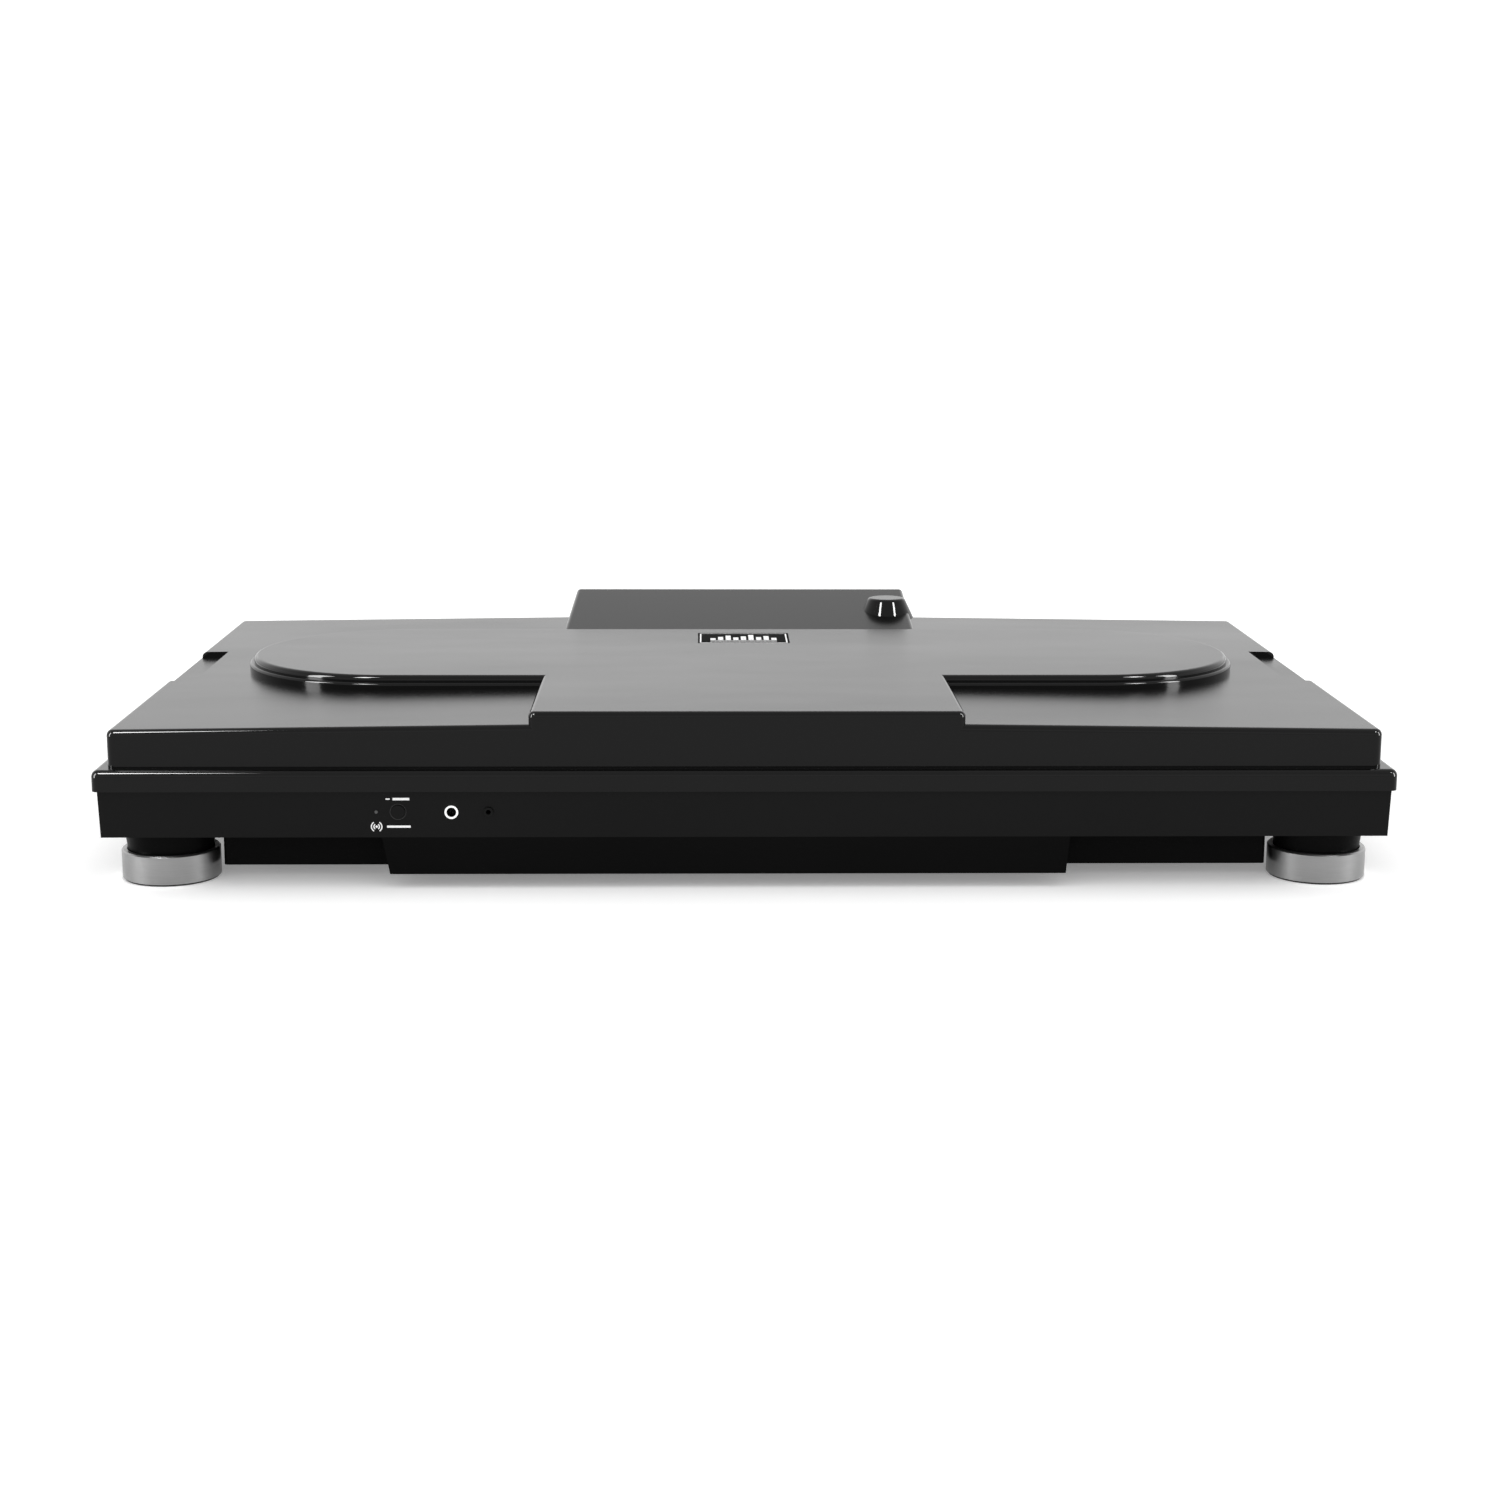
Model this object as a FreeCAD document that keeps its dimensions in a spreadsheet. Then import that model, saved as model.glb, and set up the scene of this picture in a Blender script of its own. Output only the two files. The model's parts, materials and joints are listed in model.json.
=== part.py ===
import FreeCAD, Part
import os
import re

import Sketcher
from FreeCAD import Placement, Rotation, Vector

# A two-deck DJ console with a four-channel mixer and a screen, under a rigid dust cover.
# +X is to the player's right, -Y is the front that faces the player, +Z is up. The origin is on the
# ground at the centre of the footprint. All sizes are millimetres.

SIZES = [
    # console body
    ("console_length", 934.9, "front face, left to right"),
    ("console_depth", 548.5, "front to back"),
    ("case_underside", 39, "height of the case's floor above the ground"),
    ("case_wall", 3, "moulded wall of the case"),
    ("case_draft", 1.3, "how much the case narrows on each side at its floor"),
    ("panel_top", 86.2, "height of the playing surface"),
    ("panel_thickness", 3, "top panel"),
    ("panel_edge_radius", 2, "rounded rim of the top panel"),
    ("boss_radius", 5, "screw bosses that join case and panel"),
    ("screw_radius", 1.5, "case screw shank"),
    ("screw_head_radius", 3.2, "case screw head"),
    ("screw_head_height", 2.2, "case screw head"),
    ("screw_reach", 12, "shank length above the case's underside"),
    ("thread_gap", 0.1, "radial gap round screw shanks"),
    # pan and bay under the case
    ("pan_side_inset", 82.45, "base pan from the case's sides"),
    ("pan_end_inset", 34.25, "base pan from the case's front and back"),
    ("pan_bottom", 10.5, "height of the pan's floor above the ground"),
    ("pan_wall", 1, "base pan sheet"),
    ("bay_left", 264, "front bay, left of centre"),
    ("bay_right", 234.5, "front bay, right of centre"),
    ("bay_left_draft", 5, "narrowing of the bay's left side at its floor"),
    ("bay_right_draft", 2, "narrowing of the bay's right side at its floor"),
    ("bay_front_draft", 2, "slope of the bay's front face"),
    ("bay_bottom", 11, "height of the bay's floor above the ground"),
    ("bay_wall", 2.5, "bay wall"),
    # feet
    ("foot_side_inset", 42.05, "foot centre from the case's side"),
    ("foot_end_inset", 45.25, "foot centre from the case's front or back"),
    ("foot_radius", 36, "outside of the metal ring"),
    ("foot_ring_wall", 4, "thickness of the metal ring"),
    ("foot_ring_top", 22.5, "height of the ring's upper edge"),
    ("foot_ring_chamfer", 1, "bevel on the ring's upper edge"),
    ("foot_neck_radius", 33.4, "neck where it meets the case"),
    ("foot_waist_radius", 31, "neck where it enters the ring"),
    ("foot_sole_height", 1.5, "rubber sole"),
    ("foot_sole_radius", 34.5, "rubber sole"),
    ("foot_ring_gap", 0.2, "radial gap between neck and ring"),
    # dust cover
    ("cover_wall", 2.5, "formed sheet"),
    ("cover_side_gap", 1.05, "between skirt and case"),
    ("cover_rest_gap", 0.3, "between the ledge and the panel it rests on"),
    ("cover_skirt_drop", 12.7, "skirt below the playing surface"),
    ("cover_skirt_radius", 5, "rounded edge above the skirt"),
    ("cover_ledge", 10, "ledge between skirt and upper body"),
    ("cover_corner_radius", 6, "upright corners"),
    ("cover_roof_rise", 30.5, "sides of the lower roof above the playing surface"),
    ("cover_camber", 5.5, "rise of the lower roof from its sides to its middle"),
    ("cover_roof_radius", 4.5, "rounded edge of the lower roof"),
    ("cover_raised_rise", 43.8, "raised roof above the playing surface"),
    ("cover_raised_radius", 4, "rounded edge of the raised roof"),
    ("block_half_width", 157.75, "raised block over the mixer"),
    ("jog_x", 279.5, "jog wheel centre from the middle"),
    ("jog_y", 8.5, "jog wheel centre behind the middle"),
    ("bridge_margin", 18.5, "ends of the raised bridge beyond the jog wheels"),
    ("bridge_step", 3.5, "how far the bridge's lower tier stands out"),
    ("bridge_step_drop", 5.5, "the bridge's lower tier below the raised roof"),
    ("block_corner_radius", 5, "rounded front corners of the mixer block"),
    ("bridge_step_radius", 2, "rounded edge of the lower tier"),
    ("hump_span", 141.5, "sloping roof over the screen, front to back"),
    ("hump_rise", 59.8, "hump's back edge above the playing surface"),
    ("hump_base_half", 157, "half the hump's width at the lower roof"),
    ("hump_top_left", 148.5, "hump's top edge, left of centre"),
    ("hump_top_right", 153.4, "hump's top edge, right of centre"),
    ("hump_radius", 4, "rounded edges of the hump"),
    ("dome_x", 135, "centre of the dome over the browse knob"),
    ("dome_inset", 49.8, "centre of the dome from the cover's back face"),
    ("dome_base_radius", 24.9, "dome at its foot"),
    ("dome_top_radius", 16.3, "dome at its top"),
    ("dome_height", 18, "dome, foot to top"),
    ("dome_rise", 59, "top of the dome above the playing surface"),
    ("dome_edge_radius", 4, "rounded top edge of the dome"),
    ("recess_reach", 22.5, "how far the finger recesses cut into the cover's body"),
    ("recess_front", 60, "front of the recesses, ahead of the middle"),
    ("recess_back", 84, "back of the recesses, behind the middle"),
    ("recess_depth", 5, "depth of the recesses"),
    ("badge_x", 2.5, "centre of the badge pocket"),
    ("badge_y", 76.5, "centre of the badge pocket"),
    ("badge_length", 78, "badge pocket"),
    ("badge_depth", 55, "badge pocket, front to back"),
    ("badge_pocket", 1.2, "depth of the badge pocket"),
    ("badge_thickness", 1, "badge plate"),
    ("badge_gap", 0.25, "round the badge plate"),
    # jog wheels
    ("jog_radius", 103, "jog wheel"),
    ("jog_lift", 1.8, "wheel above the playing surface"),
    ("jog_height", 18, "jog wheel, lower face to rim"),
    ("jog_dish", 10, "rim width round the metal plate"),
    ("jog_plate_thickness", 2.5, "metal top plate"),
    ("jog_hub_radius", 14, "hub below the wheel"),
    ("jog_hub_reach", 24.2, "hub below the playing surface"),
    ("jog_spindle_radius", 6, "bearing post"),
    ("jog_spindle_gap", 0.05, "radial running clearance on the post"),
    ("jog_flange_radius", 24, "foot of the bearing post"),
    ("jog_flange_height", 5, "foot of the bearing post"),
    # screen
    ("screen_inset", 14.25, "screen housing from the console's back face"),
    ("screen_span", 120, "screen housing, front to back"),
    ("screen_half_base", 150, "half the housing's width"),
    ("screen_half_top", 144.5, "half the housing's width at its top"),
    ("screen_low_rise", 23.8, "housing's front above the playing surface"),
    ("screen_high_rise", 49.8, "housing's back above the playing surface"),
    ("screen_wall", 3, "housing wall"),
    ("glass_left", 138, "screen glass, left of centre"),
    ("glass_right", 104, "screen glass, right of centre"),
    ("glass_start", 8, "from the housing's front, along the slope"),
    ("glass_span", 104, "screen glass, along the slope"),
    ("glass_thickness", 1.5, "screen glass"),
    ("glass_gap", 0.2, "round the glass"),
    ("display_margin", 12, "from the glass's edge to the display's"),
    ("display_thickness", 5, "display module"),
    # controls
    ("channel_pitch", 60, "spacing of the mixer channels"),
    ("knob_row_start", 104, "row of trim knobs"),
    ("knob_row_pitch", 29, "spacing of the knob rows"),
    ("knob_skirt_radius", 8, "channel knob at its foot"),
    ("knob_top_radius", 6.4, "channel knob at its top"),
    ("knob_height", 16, "channel knob"),
    ("knob_lift", 0.8, "knob above the panel"),
    ("knob_shaft_radius", 3, "knob shaft"),
    ("knob_shaft_gap", 0.3, "round the shaft in the panel"),
    ("knob_shaft_reach", 12, "shaft below the panel's top"),
    ("pointer_width", 1.2, "pointer groove"),
    ("master_x", 135, "master level knob"),
    ("browse_radius", 12.5, "browse knob"),
    ("browse_height", 10, "browse knob"),
    ("browse_rise", 44.4, "browse knob's lower face above the playing surface"),
    ("fader_travel", 60, "channel fader"),
    ("fader_centre", 50, "channel faders, ahead of the middle"),
    ("crossfader_centre", 150, "crossfader, ahead of the middle"),
    ("crossfader_travel", 45, "crossfader"),
    ("tempo_x", 424, "tempo faders from the middle"),
    ("tempo_y", 10, "tempo faders behind the middle"),
    ("tempo_travel", 100, "tempo fader"),
    ("cap_length", 22, "fader cap across its travel"),
    ("cap_width", 11, "fader cap along its travel"),
    ("cap_height", 12, "fader cap"),
    ("cap_lift", 1, "fader cap above the panel"),
    ("cap_draft", 2, "narrowing of the fader cap towards its top"),
    ("stem_thickness", 1.6, "fader stem"),
    ("stem_width", 5, "fader stem along its travel"),
    ("stem_reach", 16.2, "stem below the playing surface"),
    ("slot_half_width", 1.6, "slot round the stem"),
    ("slot_margin", 1.5, "slot beyond the stem's travel"),
    ("track_width", 12, "fader track under the panel"),
    ("track_depth", 12, "fader track below the panel"),
    ("track_wall", 1.2, "fader track sheet"),
    ("deck_button_radius", 16, "play and cue buttons"),
    ("deck_button_lift", 3, "button above the panel"),
    ("deck_button_travel", 1.5, "button stroke"),
    ("deck_button_reach", 12, "button below the panel's top"),
    ("deck_button_gap", 0.5, "round each button"),
    ("deck_button_inset", 28, "buttons from the deck's left edge"),
    ("cue_y", 146, "cue buttons, ahead of the middle"),
    ("play_y", 196, "play buttons, ahead of the middle"),
    ("deck_left_edge", 462, "left deck's left edge from the middle"),
    ("deck_right_edge", 160, "right deck's left edge from the middle"),
    ("pad_inset", 58, "pads from the deck's left edge"),
    ("pad_pitch", 57, "spacing of the pads across"),
    ("pad_row_pitch", 50, "spacing of the pad rows"),
    ("pad_front", 232, "front edge of the pads, ahead of the middle"),
    ("pad_length", 50, "pad, left to right"),
    ("pad_width", 42, "pad, front to back"),
    ("pad_lift", 1.8, "pad above the panel"),
    ("pad_gap", 0.5, "round each pad"),
    ("pad_sheet", 2, "sheet that joins the pads"),
    ("pad_border", 4, "sheet beyond the pads"),
    # front panel
    ("front_parts_rise", 19, "front sockets and button above the case's underside"),
    ("large_jack_x", 213.3, "large headphone socket, left of centre"),
    ("large_jack_bore", 3.25, "radius of the large socket"),
    ("large_jack_tube", 4.9, "outside radius of the large socket's nose"),
    ("large_jack_length", 28, "depth of the large socket"),
    ("small_jack_x", 186.7, "small headphone socket, left of centre"),
    ("small_jack_bore", 1.8, "radius of the small socket"),
    ("small_jack_tube", 3.4, "outside radius of the small socket's nose"),
    ("small_jack_length", 16, "depth of the small socket"),
    ("jack_stand_out", 1, "socket noses proud of the case"),
    ("jack_block", 7.5, "half the size of the sockets' blocks"),
    ("jack_gap", 0.1, "round the socket noses in the case"),
    ("pairing_x", 251.8, "pairing button, left of centre"),
    ("pairing_radius", 5.1, "pairing button"),
    ("pairing_stand_out", 0.9, "pairing button proud of the case"),
    ("pairing_length", 9, "pairing button, front to back"),
    ("pairing_travel", 0.7, "pairing button's stroke"),
    ("pairing_gap", 0.3, "round the pairing button"),
    ("light_x", 267.5, "pairing light, left of centre"),
    ("light_radius", 1.2, "pairing light"),
    # rear panel
    ("bay_window_half", 150, "half the length of the rear jack recess"),
    ("window_rise", 7, "recess above the case's underside"),
    ("window_height", 25, "rear jack recess"),
    ("window_depth", 13, "depth of the rear jack recess"),
    ("window_gap", 0.3, "round the jack plate in the case"),
    ("plate_wall", 2, "rear jack plate"),
    ("phono_radius", 4.15, "phono socket barrel"),
    ("phono_core", 1.7, "phono socket's centre hole"),
    ("phono_length", 9.5, "phono socket barrel"),
    ("phono_pitch", 24, "spacing of the phono sockets"),
    ("phono_start", 40, "first phono socket, left of centre"),
    ("inlet_x", 100, "mains inlet, right of centre"),
    ("inlet_half_length", 13.5, "mains inlet body"),
    ("inlet_half_height", 10, "mains inlet body"),
    ("inlet_wall", 2, "mains inlet rim"),
    ("inlet_body", 22, "mains inlet behind the plate's face"),
    ("inlet_hollow", 17, "depth of the mains inlet"),
    ("blade_length", 11, "inlet contacts"),
    ("blade_pitch", 7, "inlet contacts"),
    ("power_x", 60, "power button, right of centre"),
    ("power_radius", 6, "power button"),
    ("power_stand_out", 5, "power button proud of the plate"),
    ("power_travel", 3, "power button's stroke"),
    ("power_length", 16, "power button"),
    ("power_gap", 0.4, "round the power button"),
    # electronics
    ("board_thickness", 1.6, "circuit boards"),
    ("main_board_lift", 6, "main board above the case's floor"),
    ("main_board_half_length", 130, "main board"),
    ("main_board_front", 90, "main board, ahead of the middle"),
    ("main_board_back", 225, "main board, behind the middle"),
    ("mixer_board_drop", 18, "mixer board below the panel's top"),
    ("pot_half", 5.5, "half the width of a potentiometer"),
    ("pot_height", 5, "potentiometer on the mixer board"),
    ("supply_half_length", 100, "power supply"),
    ("supply_depth", 90, "power supply, front to back"),
    ("supply_height", 22, "power supply"),
    ("standoff_radius", 3, "board posts"),
]
ALIASES = {name for name, number, note in SIZES}

# Heights and places that several pieces share, each worked out from the sheet.
SHARED = {
    "pan_half_length": "(console_length / 2 - pan_side_inset)",
    "pan_half_depth": "(console_depth / 2 - pan_end_inset)",
    "foot_x": "(console_length / 2 - foot_side_inset)",
    "foot_y": "(console_depth / 2 - foot_end_inset)",
    "recess_start": "(console_length / 2 + cover_side_gap + cover_wall - cover_ledge - recess_reach)",
    "cover_skirt_bottom": "(panel_top - cover_skirt_drop)",
    "cover_roof": "(panel_top + cover_roof_rise)",
    "cover_raised": "(panel_top + cover_raised_rise)",
    "cover_back": "(console_depth / 2 + cover_side_gap + cover_wall - cover_ledge)",
    "bridge_radius": "(jog_radius + bridge_margin)",
    "hump_front": "(cover_back - hump_span)",
    "hump_top": "(panel_top + hump_rise)",
    "dome_y": "(cover_back - dome_inset)",
    "dome_top": "(panel_top + dome_rise)",
    "jog_underside": "(panel_top + jog_lift)",
    "jog_rim_top": "(panel_top + jog_lift + jog_height)",
    "jog_hub_bottom": "(panel_top - jog_hub_reach)",
    "screen_back": "(console_depth / 2 - screen_inset)",
    "screen_front": "(screen_back - screen_span)",
    "screen_low": "(panel_top + screen_low_rise)",
    "screen_high": "(panel_top + screen_high_rise)",
    "browse_bottom": "(panel_top + browse_rise)",
    "browse_top": "(panel_top + browse_rise + browse_height)",
    "stem_bottom": "(panel_top - stem_reach)",
    "front_parts_height": "(case_underside + front_parts_rise)",
    "window_bottom": "(case_underside + window_rise)",
    "window_top": "(case_underside + window_rise + window_height)",
}

doc = FreeCAD.newDocument("DjConsole")
sheet = doc.addObject("Spreadsheet::Sheet", "Sizes")
for row, (name, number, note) in enumerate(SIZES, start=1):
    sheet.set(f"A{row}", name)
    sheet.set(f"B{row}", str(number))
    sheet.setAlias(f"B{row}", name)
    sheet.set(f"C{row}", note)
doc.recompute()

# Spans that several pieces share.
HALF_LENGTH = "console_length / 2"
HALF_DEPTH = "console_depth / 2"
CASE_FLOOR = "(case_underside + case_wall)"
PANEL_UNDER = "(panel_top - panel_thickness)"
INNER_LENGTH = "(console_length / 2 - case_wall)"
INNER_DEPTH = "(console_depth / 2 - case_wall)"
SKIRT_X = "(console_length / 2 + cover_side_gap + cover_wall)"
SKIRT_Y = "(console_depth / 2 + cover_side_gap + cover_wall)"
BODY_X = f"({SKIRT_X} - cover_ledge)"
BODY_Y = "cover_back"
LEDGE_TOP = "(panel_top + cover_rest_gap + cover_wall)"
SLOPE = "atan((screen_high - screen_low) / (screen_back - screen_front))"
FRONT_FACE = f"(-{HALF_DEPTH})"
PLATE_FACE = f"({HALF_DEPTH} - window_depth)"
CHANNELS = [-1.5, -0.5, 0.5, 1.5]
CHANNEL_NAMES = ["one", "two", "three", "four"]
KNOB_ROWS = ["trim", "high", "mid", "low"]
DECKS = [("left", "-deck_left_edge", -1), ("right", "deck_right_edge", 1)]

AXES = {
    "X": Rotation(Vector(0, 1, 0), 90),
    "Y": Rotation(Vector(1, 0, 0), -90),
    "Z": Rotation(),
}


def formula(text):
    """The text with shared places written out and each size's name pointed at the sheet."""
    def on_sheet(match):
        word = match.group()
        if word in SHARED:
            return formula(SHARED[word])
        return "Sizes." + word if word in ALIASES else word
    return re.sub(r"[a-z][a-z_]*", on_sheet, str(text))


def value(text):
    """The number that a formula gives now."""
    return float(sheet.evalExpression(formula(text)))


def bind(target, path, text):
    """Tie one property of an object to a formula."""
    target.setExpression(path, formula(text))


def bind_corner(target, x, y, z):
    """Tie an object's own origin to three formulas."""
    for letter, text in zip("xyz", (x, y, z)):
        bind(target, f"Placement.Base.{letter}", text)


def both(half):
    """The span from minus to plus a half size."""
    return f"-({half})", f"({half})"


def around(centre, half):
    """The span of a half size on each side of a centre."""
    return f"({centre}) - ({half})", f"({centre}) + ({half})"


def bind_box(feature, x, y, z):
    """Make a box feature fill three spans."""
    bind(feature, "Length", f"({x[1]}) - ({x[0]})")
    bind(feature, "Width", f"({y[1]}) - ({y[0]})")
    bind(feature, "Height", f"({z[1]}) - ({z[0]})")
    bind_corner(feature, x[0], y[0], z[0])
    return feature


def new_body(label):
    body = doc.addObject("PartDesign::Body", label)
    body.Label = label
    return body


def box(body, name, x, y, z, cut=False):
    """Add or cut a box that fills three spans."""
    kind = "Subtractive" if cut else "Additive"
    return bind_box(body.newObject(f"PartDesign::{kind}Box", name), x, y, z)


def pitched(body, name, half, y, bottom, drop="0", cut=False):
    """Add or cut a block under the lower roof's two slopes, or a drop below them."""
    sketch = sketch_on(body, f"{name}_outline", "XZ_Plane", f"-({y[1]})")
    ridge = f"cover_roof + cover_camber - ({drop})"
    eave = f"({ridge}) - cover_camber * ({half}) / {BODY_X}"
    draw_outline(sketch, [(f"-({half})", bottom), (half, bottom), (half, eave), ("0", ridge),
                          (f"-({half})", eave)])
    kind = "Pocket" if cut else "Pad"
    feature = body.newObject(f"PartDesign::{kind}", name)
    feature.Profile = sketch
    feature.Reversed = cut
    bind(feature, "Length", f"({y[1]}) - ({y[0]})")
    return feature


def rod(body, name, axis, start, radius, length, cut=False):
    """Add or cut a cylinder that runs from start along +axis."""
    kind = "Subtractive" if cut else "Additive"
    feature = body.newObject(f"PartDesign::{kind}Cylinder", name)
    feature.Placement = Placement(Vector(), AXES[axis])
    bind(feature, "Radius", radius)
    bind(feature, "Height", length)
    bind_corner(feature, *start)
    return feature


def cone(body, name, start, lower, upper, length, cut=False):
    """Add or cut an upright cone."""
    kind = "Subtractive" if cut else "Additive"
    feature = body.newObject(f"PartDesign::{kind}Cone", name)
    bind(feature, "Radius1", lower)
    bind(feature, "Radius2", upper)
    bind(feature, "Height", length)
    bind_corner(feature, *start)
    return feature


def tapered(body, name, z, low_x, low_y, high_x, high_y, cut=False):
    """Add or cut a block whose lower and upper rectangles differ.

    The wedge feature grows along its own Y, which is turned to point up, so its own Z runs along -Y.
    """
    kind = "Subtractive" if cut else "Additive"
    feature = body.newObject(f"PartDesign::{kind}Wedge", name)
    feature.Placement = Placement(Vector(), Rotation(Vector(1, 0, 0), 90))
    spans = {
        "Ymin": z[0], "Ymax": z[1],
        "Xmin": low_x[0], "Xmax": low_x[1], "Zmin": f"-({low_y[1]})", "Zmax": f"-({low_y[0]})",
        "X2min": high_x[0], "X2max": high_x[1], "Z2min": f"-({high_y[1]})", "Z2max": f"-({high_y[0]})",
    }
    for path, text in spans.items():
        bind(feature, path, text)
    return feature


def sketch_on(body, name, role, height="0"):
    """A sketch on one of the body's own planes, raised by a height."""
    sketch = body.newObject("Sketcher::SketchObject", name)
    plane = next(item for item in body.Origin.OriginFeatures if item.Role == role)
    sketch.AttachmentSupport = [(plane, "")]
    sketch.MapMode = "FlatFace"
    bind(sketch, "AttachmentOffset.Base.z", height)
    return sketch


def draw_circle(sketch, x, y, radius):
    """A circle whose centre and radius are tied to formulas."""
    centre = Vector(value(x), value(y), 0)
    shape = sketch.addGeometry(Part.Circle(centre, Vector(0, 0, 1), value(radius)), False)
    first = sketch.ConstraintCount
    sketch.addConstraint([
        Sketcher.Constraint("DistanceX", -1, 1, shape, 3, centre.x),
        Sketcher.Constraint("DistanceY", -1, 1, shape, 3, centre.y),
        Sketcher.Constraint("Radius", shape, value(radius)),
    ])
    for offset, text in enumerate((x, y, radius)):
        bind(sketch, f"Constraints[{first + offset}]", text)


def draw_outline(sketch, points):
    """A closed outline of straight lines whose corners are tied to formulas."""
    corners = [Vector(value(x), value(y), 0) for x, y in points]
    lines = [Part.LineSegment(here, there) for here, there in zip(corners, corners[1:] + corners[:1])]
    shapes = sketch.addGeometry(lines, False)
    joins = [Sketcher.Constraint("Coincident", here, 2, there, 1)
             for here, there in zip(shapes, shapes[1:] + shapes[:1])]
    sketch.addConstraint(joins)
    first = sketch.ConstraintCount
    places = []
    for shape, corner in zip(shapes, corners):
        places.append(Sketcher.Constraint("DistanceX", -1, 1, shape, 1, corner.x))
        places.append(Sketcher.Constraint("DistanceY", -1, 1, shape, 1, corner.y))
    sketch.addConstraint(places)
    for index, text in enumerate(text for point in points for text in point):
        bind(sketch, f"Constraints[{first + index}]", text)


def rectangle(x, y):
    return [(x[0], y[0]), (x[1], y[0]), (x[1], y[1]), (x[0], y[1])]


def turned(body, name, profile):
    """A solid turned about the body's Z axis from a profile of radius and height."""
    sketch = sketch_on(body, f"{name}_profile", "XZ_Plane")
    draw_outline(sketch, profile)
    feature = body.newObject("PartDesign::Revolution", name)
    feature.Profile = sketch
    feature.ReferenceAxis = (sketch, ["V_Axis"])
    feature.Angle = 360
    sketch.Visibility = False
    return feature


def round_edges(body, name, radius, wanted):
    """Round the edges of the body's last feature that the test picks."""
    doc.recompute()
    base = body.Tip
    names = [f"Edge{index}" for index, edge in enumerate(base.Shape.Edges, start=1) if wanted(edge)]
    feature = body.newObject("PartDesign::Fillet", name)
    feature.Base = (base, names)
    bind(feature, "Radius", radius)
    doc.recompute()
    return feature


def level_edge(height):
    """Test for edges that lie flat at a height."""
    def test(edge):
        bounds = edge.BoundBox
        return abs(bounds.ZMin - height) < 0.01 and abs(bounds.ZMax - height) < 0.01
    return test


def upright_edge(x, y):
    """Test for vertical edges at a distance from the two middle planes."""
    def test(edge):
        bounds = edge.BoundBox
        return (bounds.XLength < 0.01 and bounds.YLength < 0.01 and bounds.ZLength > 1
                and abs(abs(bounds.XMin) - x) < 0.01 and abs(abs(bounds.YMin) - y) < 0.01)
    return test


def part_box(name, x, y, z):
    return bind_box(doc.addObject("Part::Box", name), x, y, z)


def part_rod(name, axis, start, radius, length):
    feature = doc.addObject("Part::Cylinder", name)
    feature.Placement = Placement(Vector(), AXES[axis])
    bind(feature, "Radius", radius)
    bind(feature, "Height", length)
    bind_corner(feature, *start)
    return feature


def part_cone(name, start, lower, upper, length):
    feature = doc.addObject("Part::Cone", name)
    bind(feature, "Radius1", lower)
    bind(feature, "Radius2", upper)
    bind(feature, "Height", length)
    bind_corner(feature, *start)
    return feature


def fused(name, members):
    feature = doc.addObject("Part::MultiFuse", name)
    feature.Shapes = members
    return feature


def minus(name, base, tool):
    feature = doc.addObject("Part::Cut", name)
    feature.Base = base
    feature.Tool = tool
    return feature


def group(label, members):
    """One node of several separate solids."""
    feature = doc.addObject("Part::Compound", label)
    feature.Label = label
    feature.Links = members
    return feature


NODES = []


def keep(piece):
    """Count an object as one of the console's pieces."""
    NODES.append(piece)
    return piece


# ---------------------------------------------------------------- places of the controls

def channel_x(index):
    return f"({CHANNELS[index]} * channel_pitch)"


def knob_y(row):
    return f"(knob_row_start - {row} * knob_row_pitch)"


KNOBS = [(f"{KNOB_ROWS[row]}_knob_{CHANNEL_NAMES[index]}", channel_x(index), knob_y(row))
         for index in range(len(CHANNELS)) for row in range(len(KNOB_ROWS))]
KNOBS.append(("master_level_knob", "master_x", "knob_row_start"))

# Each fader: name, centre, direction of travel and full travel.
FADERS = [(f"channel_fader_{CHANNEL_NAMES[index]}", channel_x(index), "-fader_centre", "Y", "fader_travel")
          for index in range(len(CHANNELS))]
FADERS.append(("crossfader", "0", "-crossfader_centre", "X", "crossfader_travel"))
FADERS.append(("left_tempo_fader", "-tempo_x", "tempo_y", "Y", "tempo_travel"))
FADERS.append(("right_tempo_fader", "tempo_x", "tempo_y", "Y", "tempo_travel"))

DECK_BUTTONS = [(f"{side}_{name}_button", f"({edge} + deck_button_inset)", f"(-{name}_y)")
                for side, edge, sign in DECKS for name in ("cue", "play")]

SCREWS = [("-350", -1), ("350", -1), ("-350", 1), ("350", 1), ("-210", 1), ("210", 1)]
SIDE_SCREW_INSET = "(case_wall + boss_radius + 6)"


def screw_places():
    """Screws along the front and back of the case, and one at the middle of each side."""
    places = [(x, f"({side} * ({INNER_DEPTH} - boss_radius - 8))") for x, side in SCREWS]
    places += [(f"({side} * ({HALF_LENGTH} - {SIDE_SCREW_INSET}))", "0") for side in (-1, 1)]
    return places


def pad_spans(edge):
    """The spans of one deck's eight pads."""
    spans = []
    for row in range(2):
        for column in range(4):
            left = f"({edge} + pad_inset + {column} * pad_pitch)"
            front = f"(-pad_front + {row} * pad_row_pitch)"
            spans.append(((left, f"({left} + pad_length)"), (front, f"({front} + pad_width)")))
    return spans


def along(axis, centre_x, centre_y, half_travel, half_across):
    """The spans of something long in the direction of a fader's travel."""
    if axis == "Y":
        return around(centre_x, half_across), around(centre_y, half_travel)
    return around(centre_x, half_travel), around(centre_y, half_across)


# ---------------------------------------------------------------- case, panel, pan and bay

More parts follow.
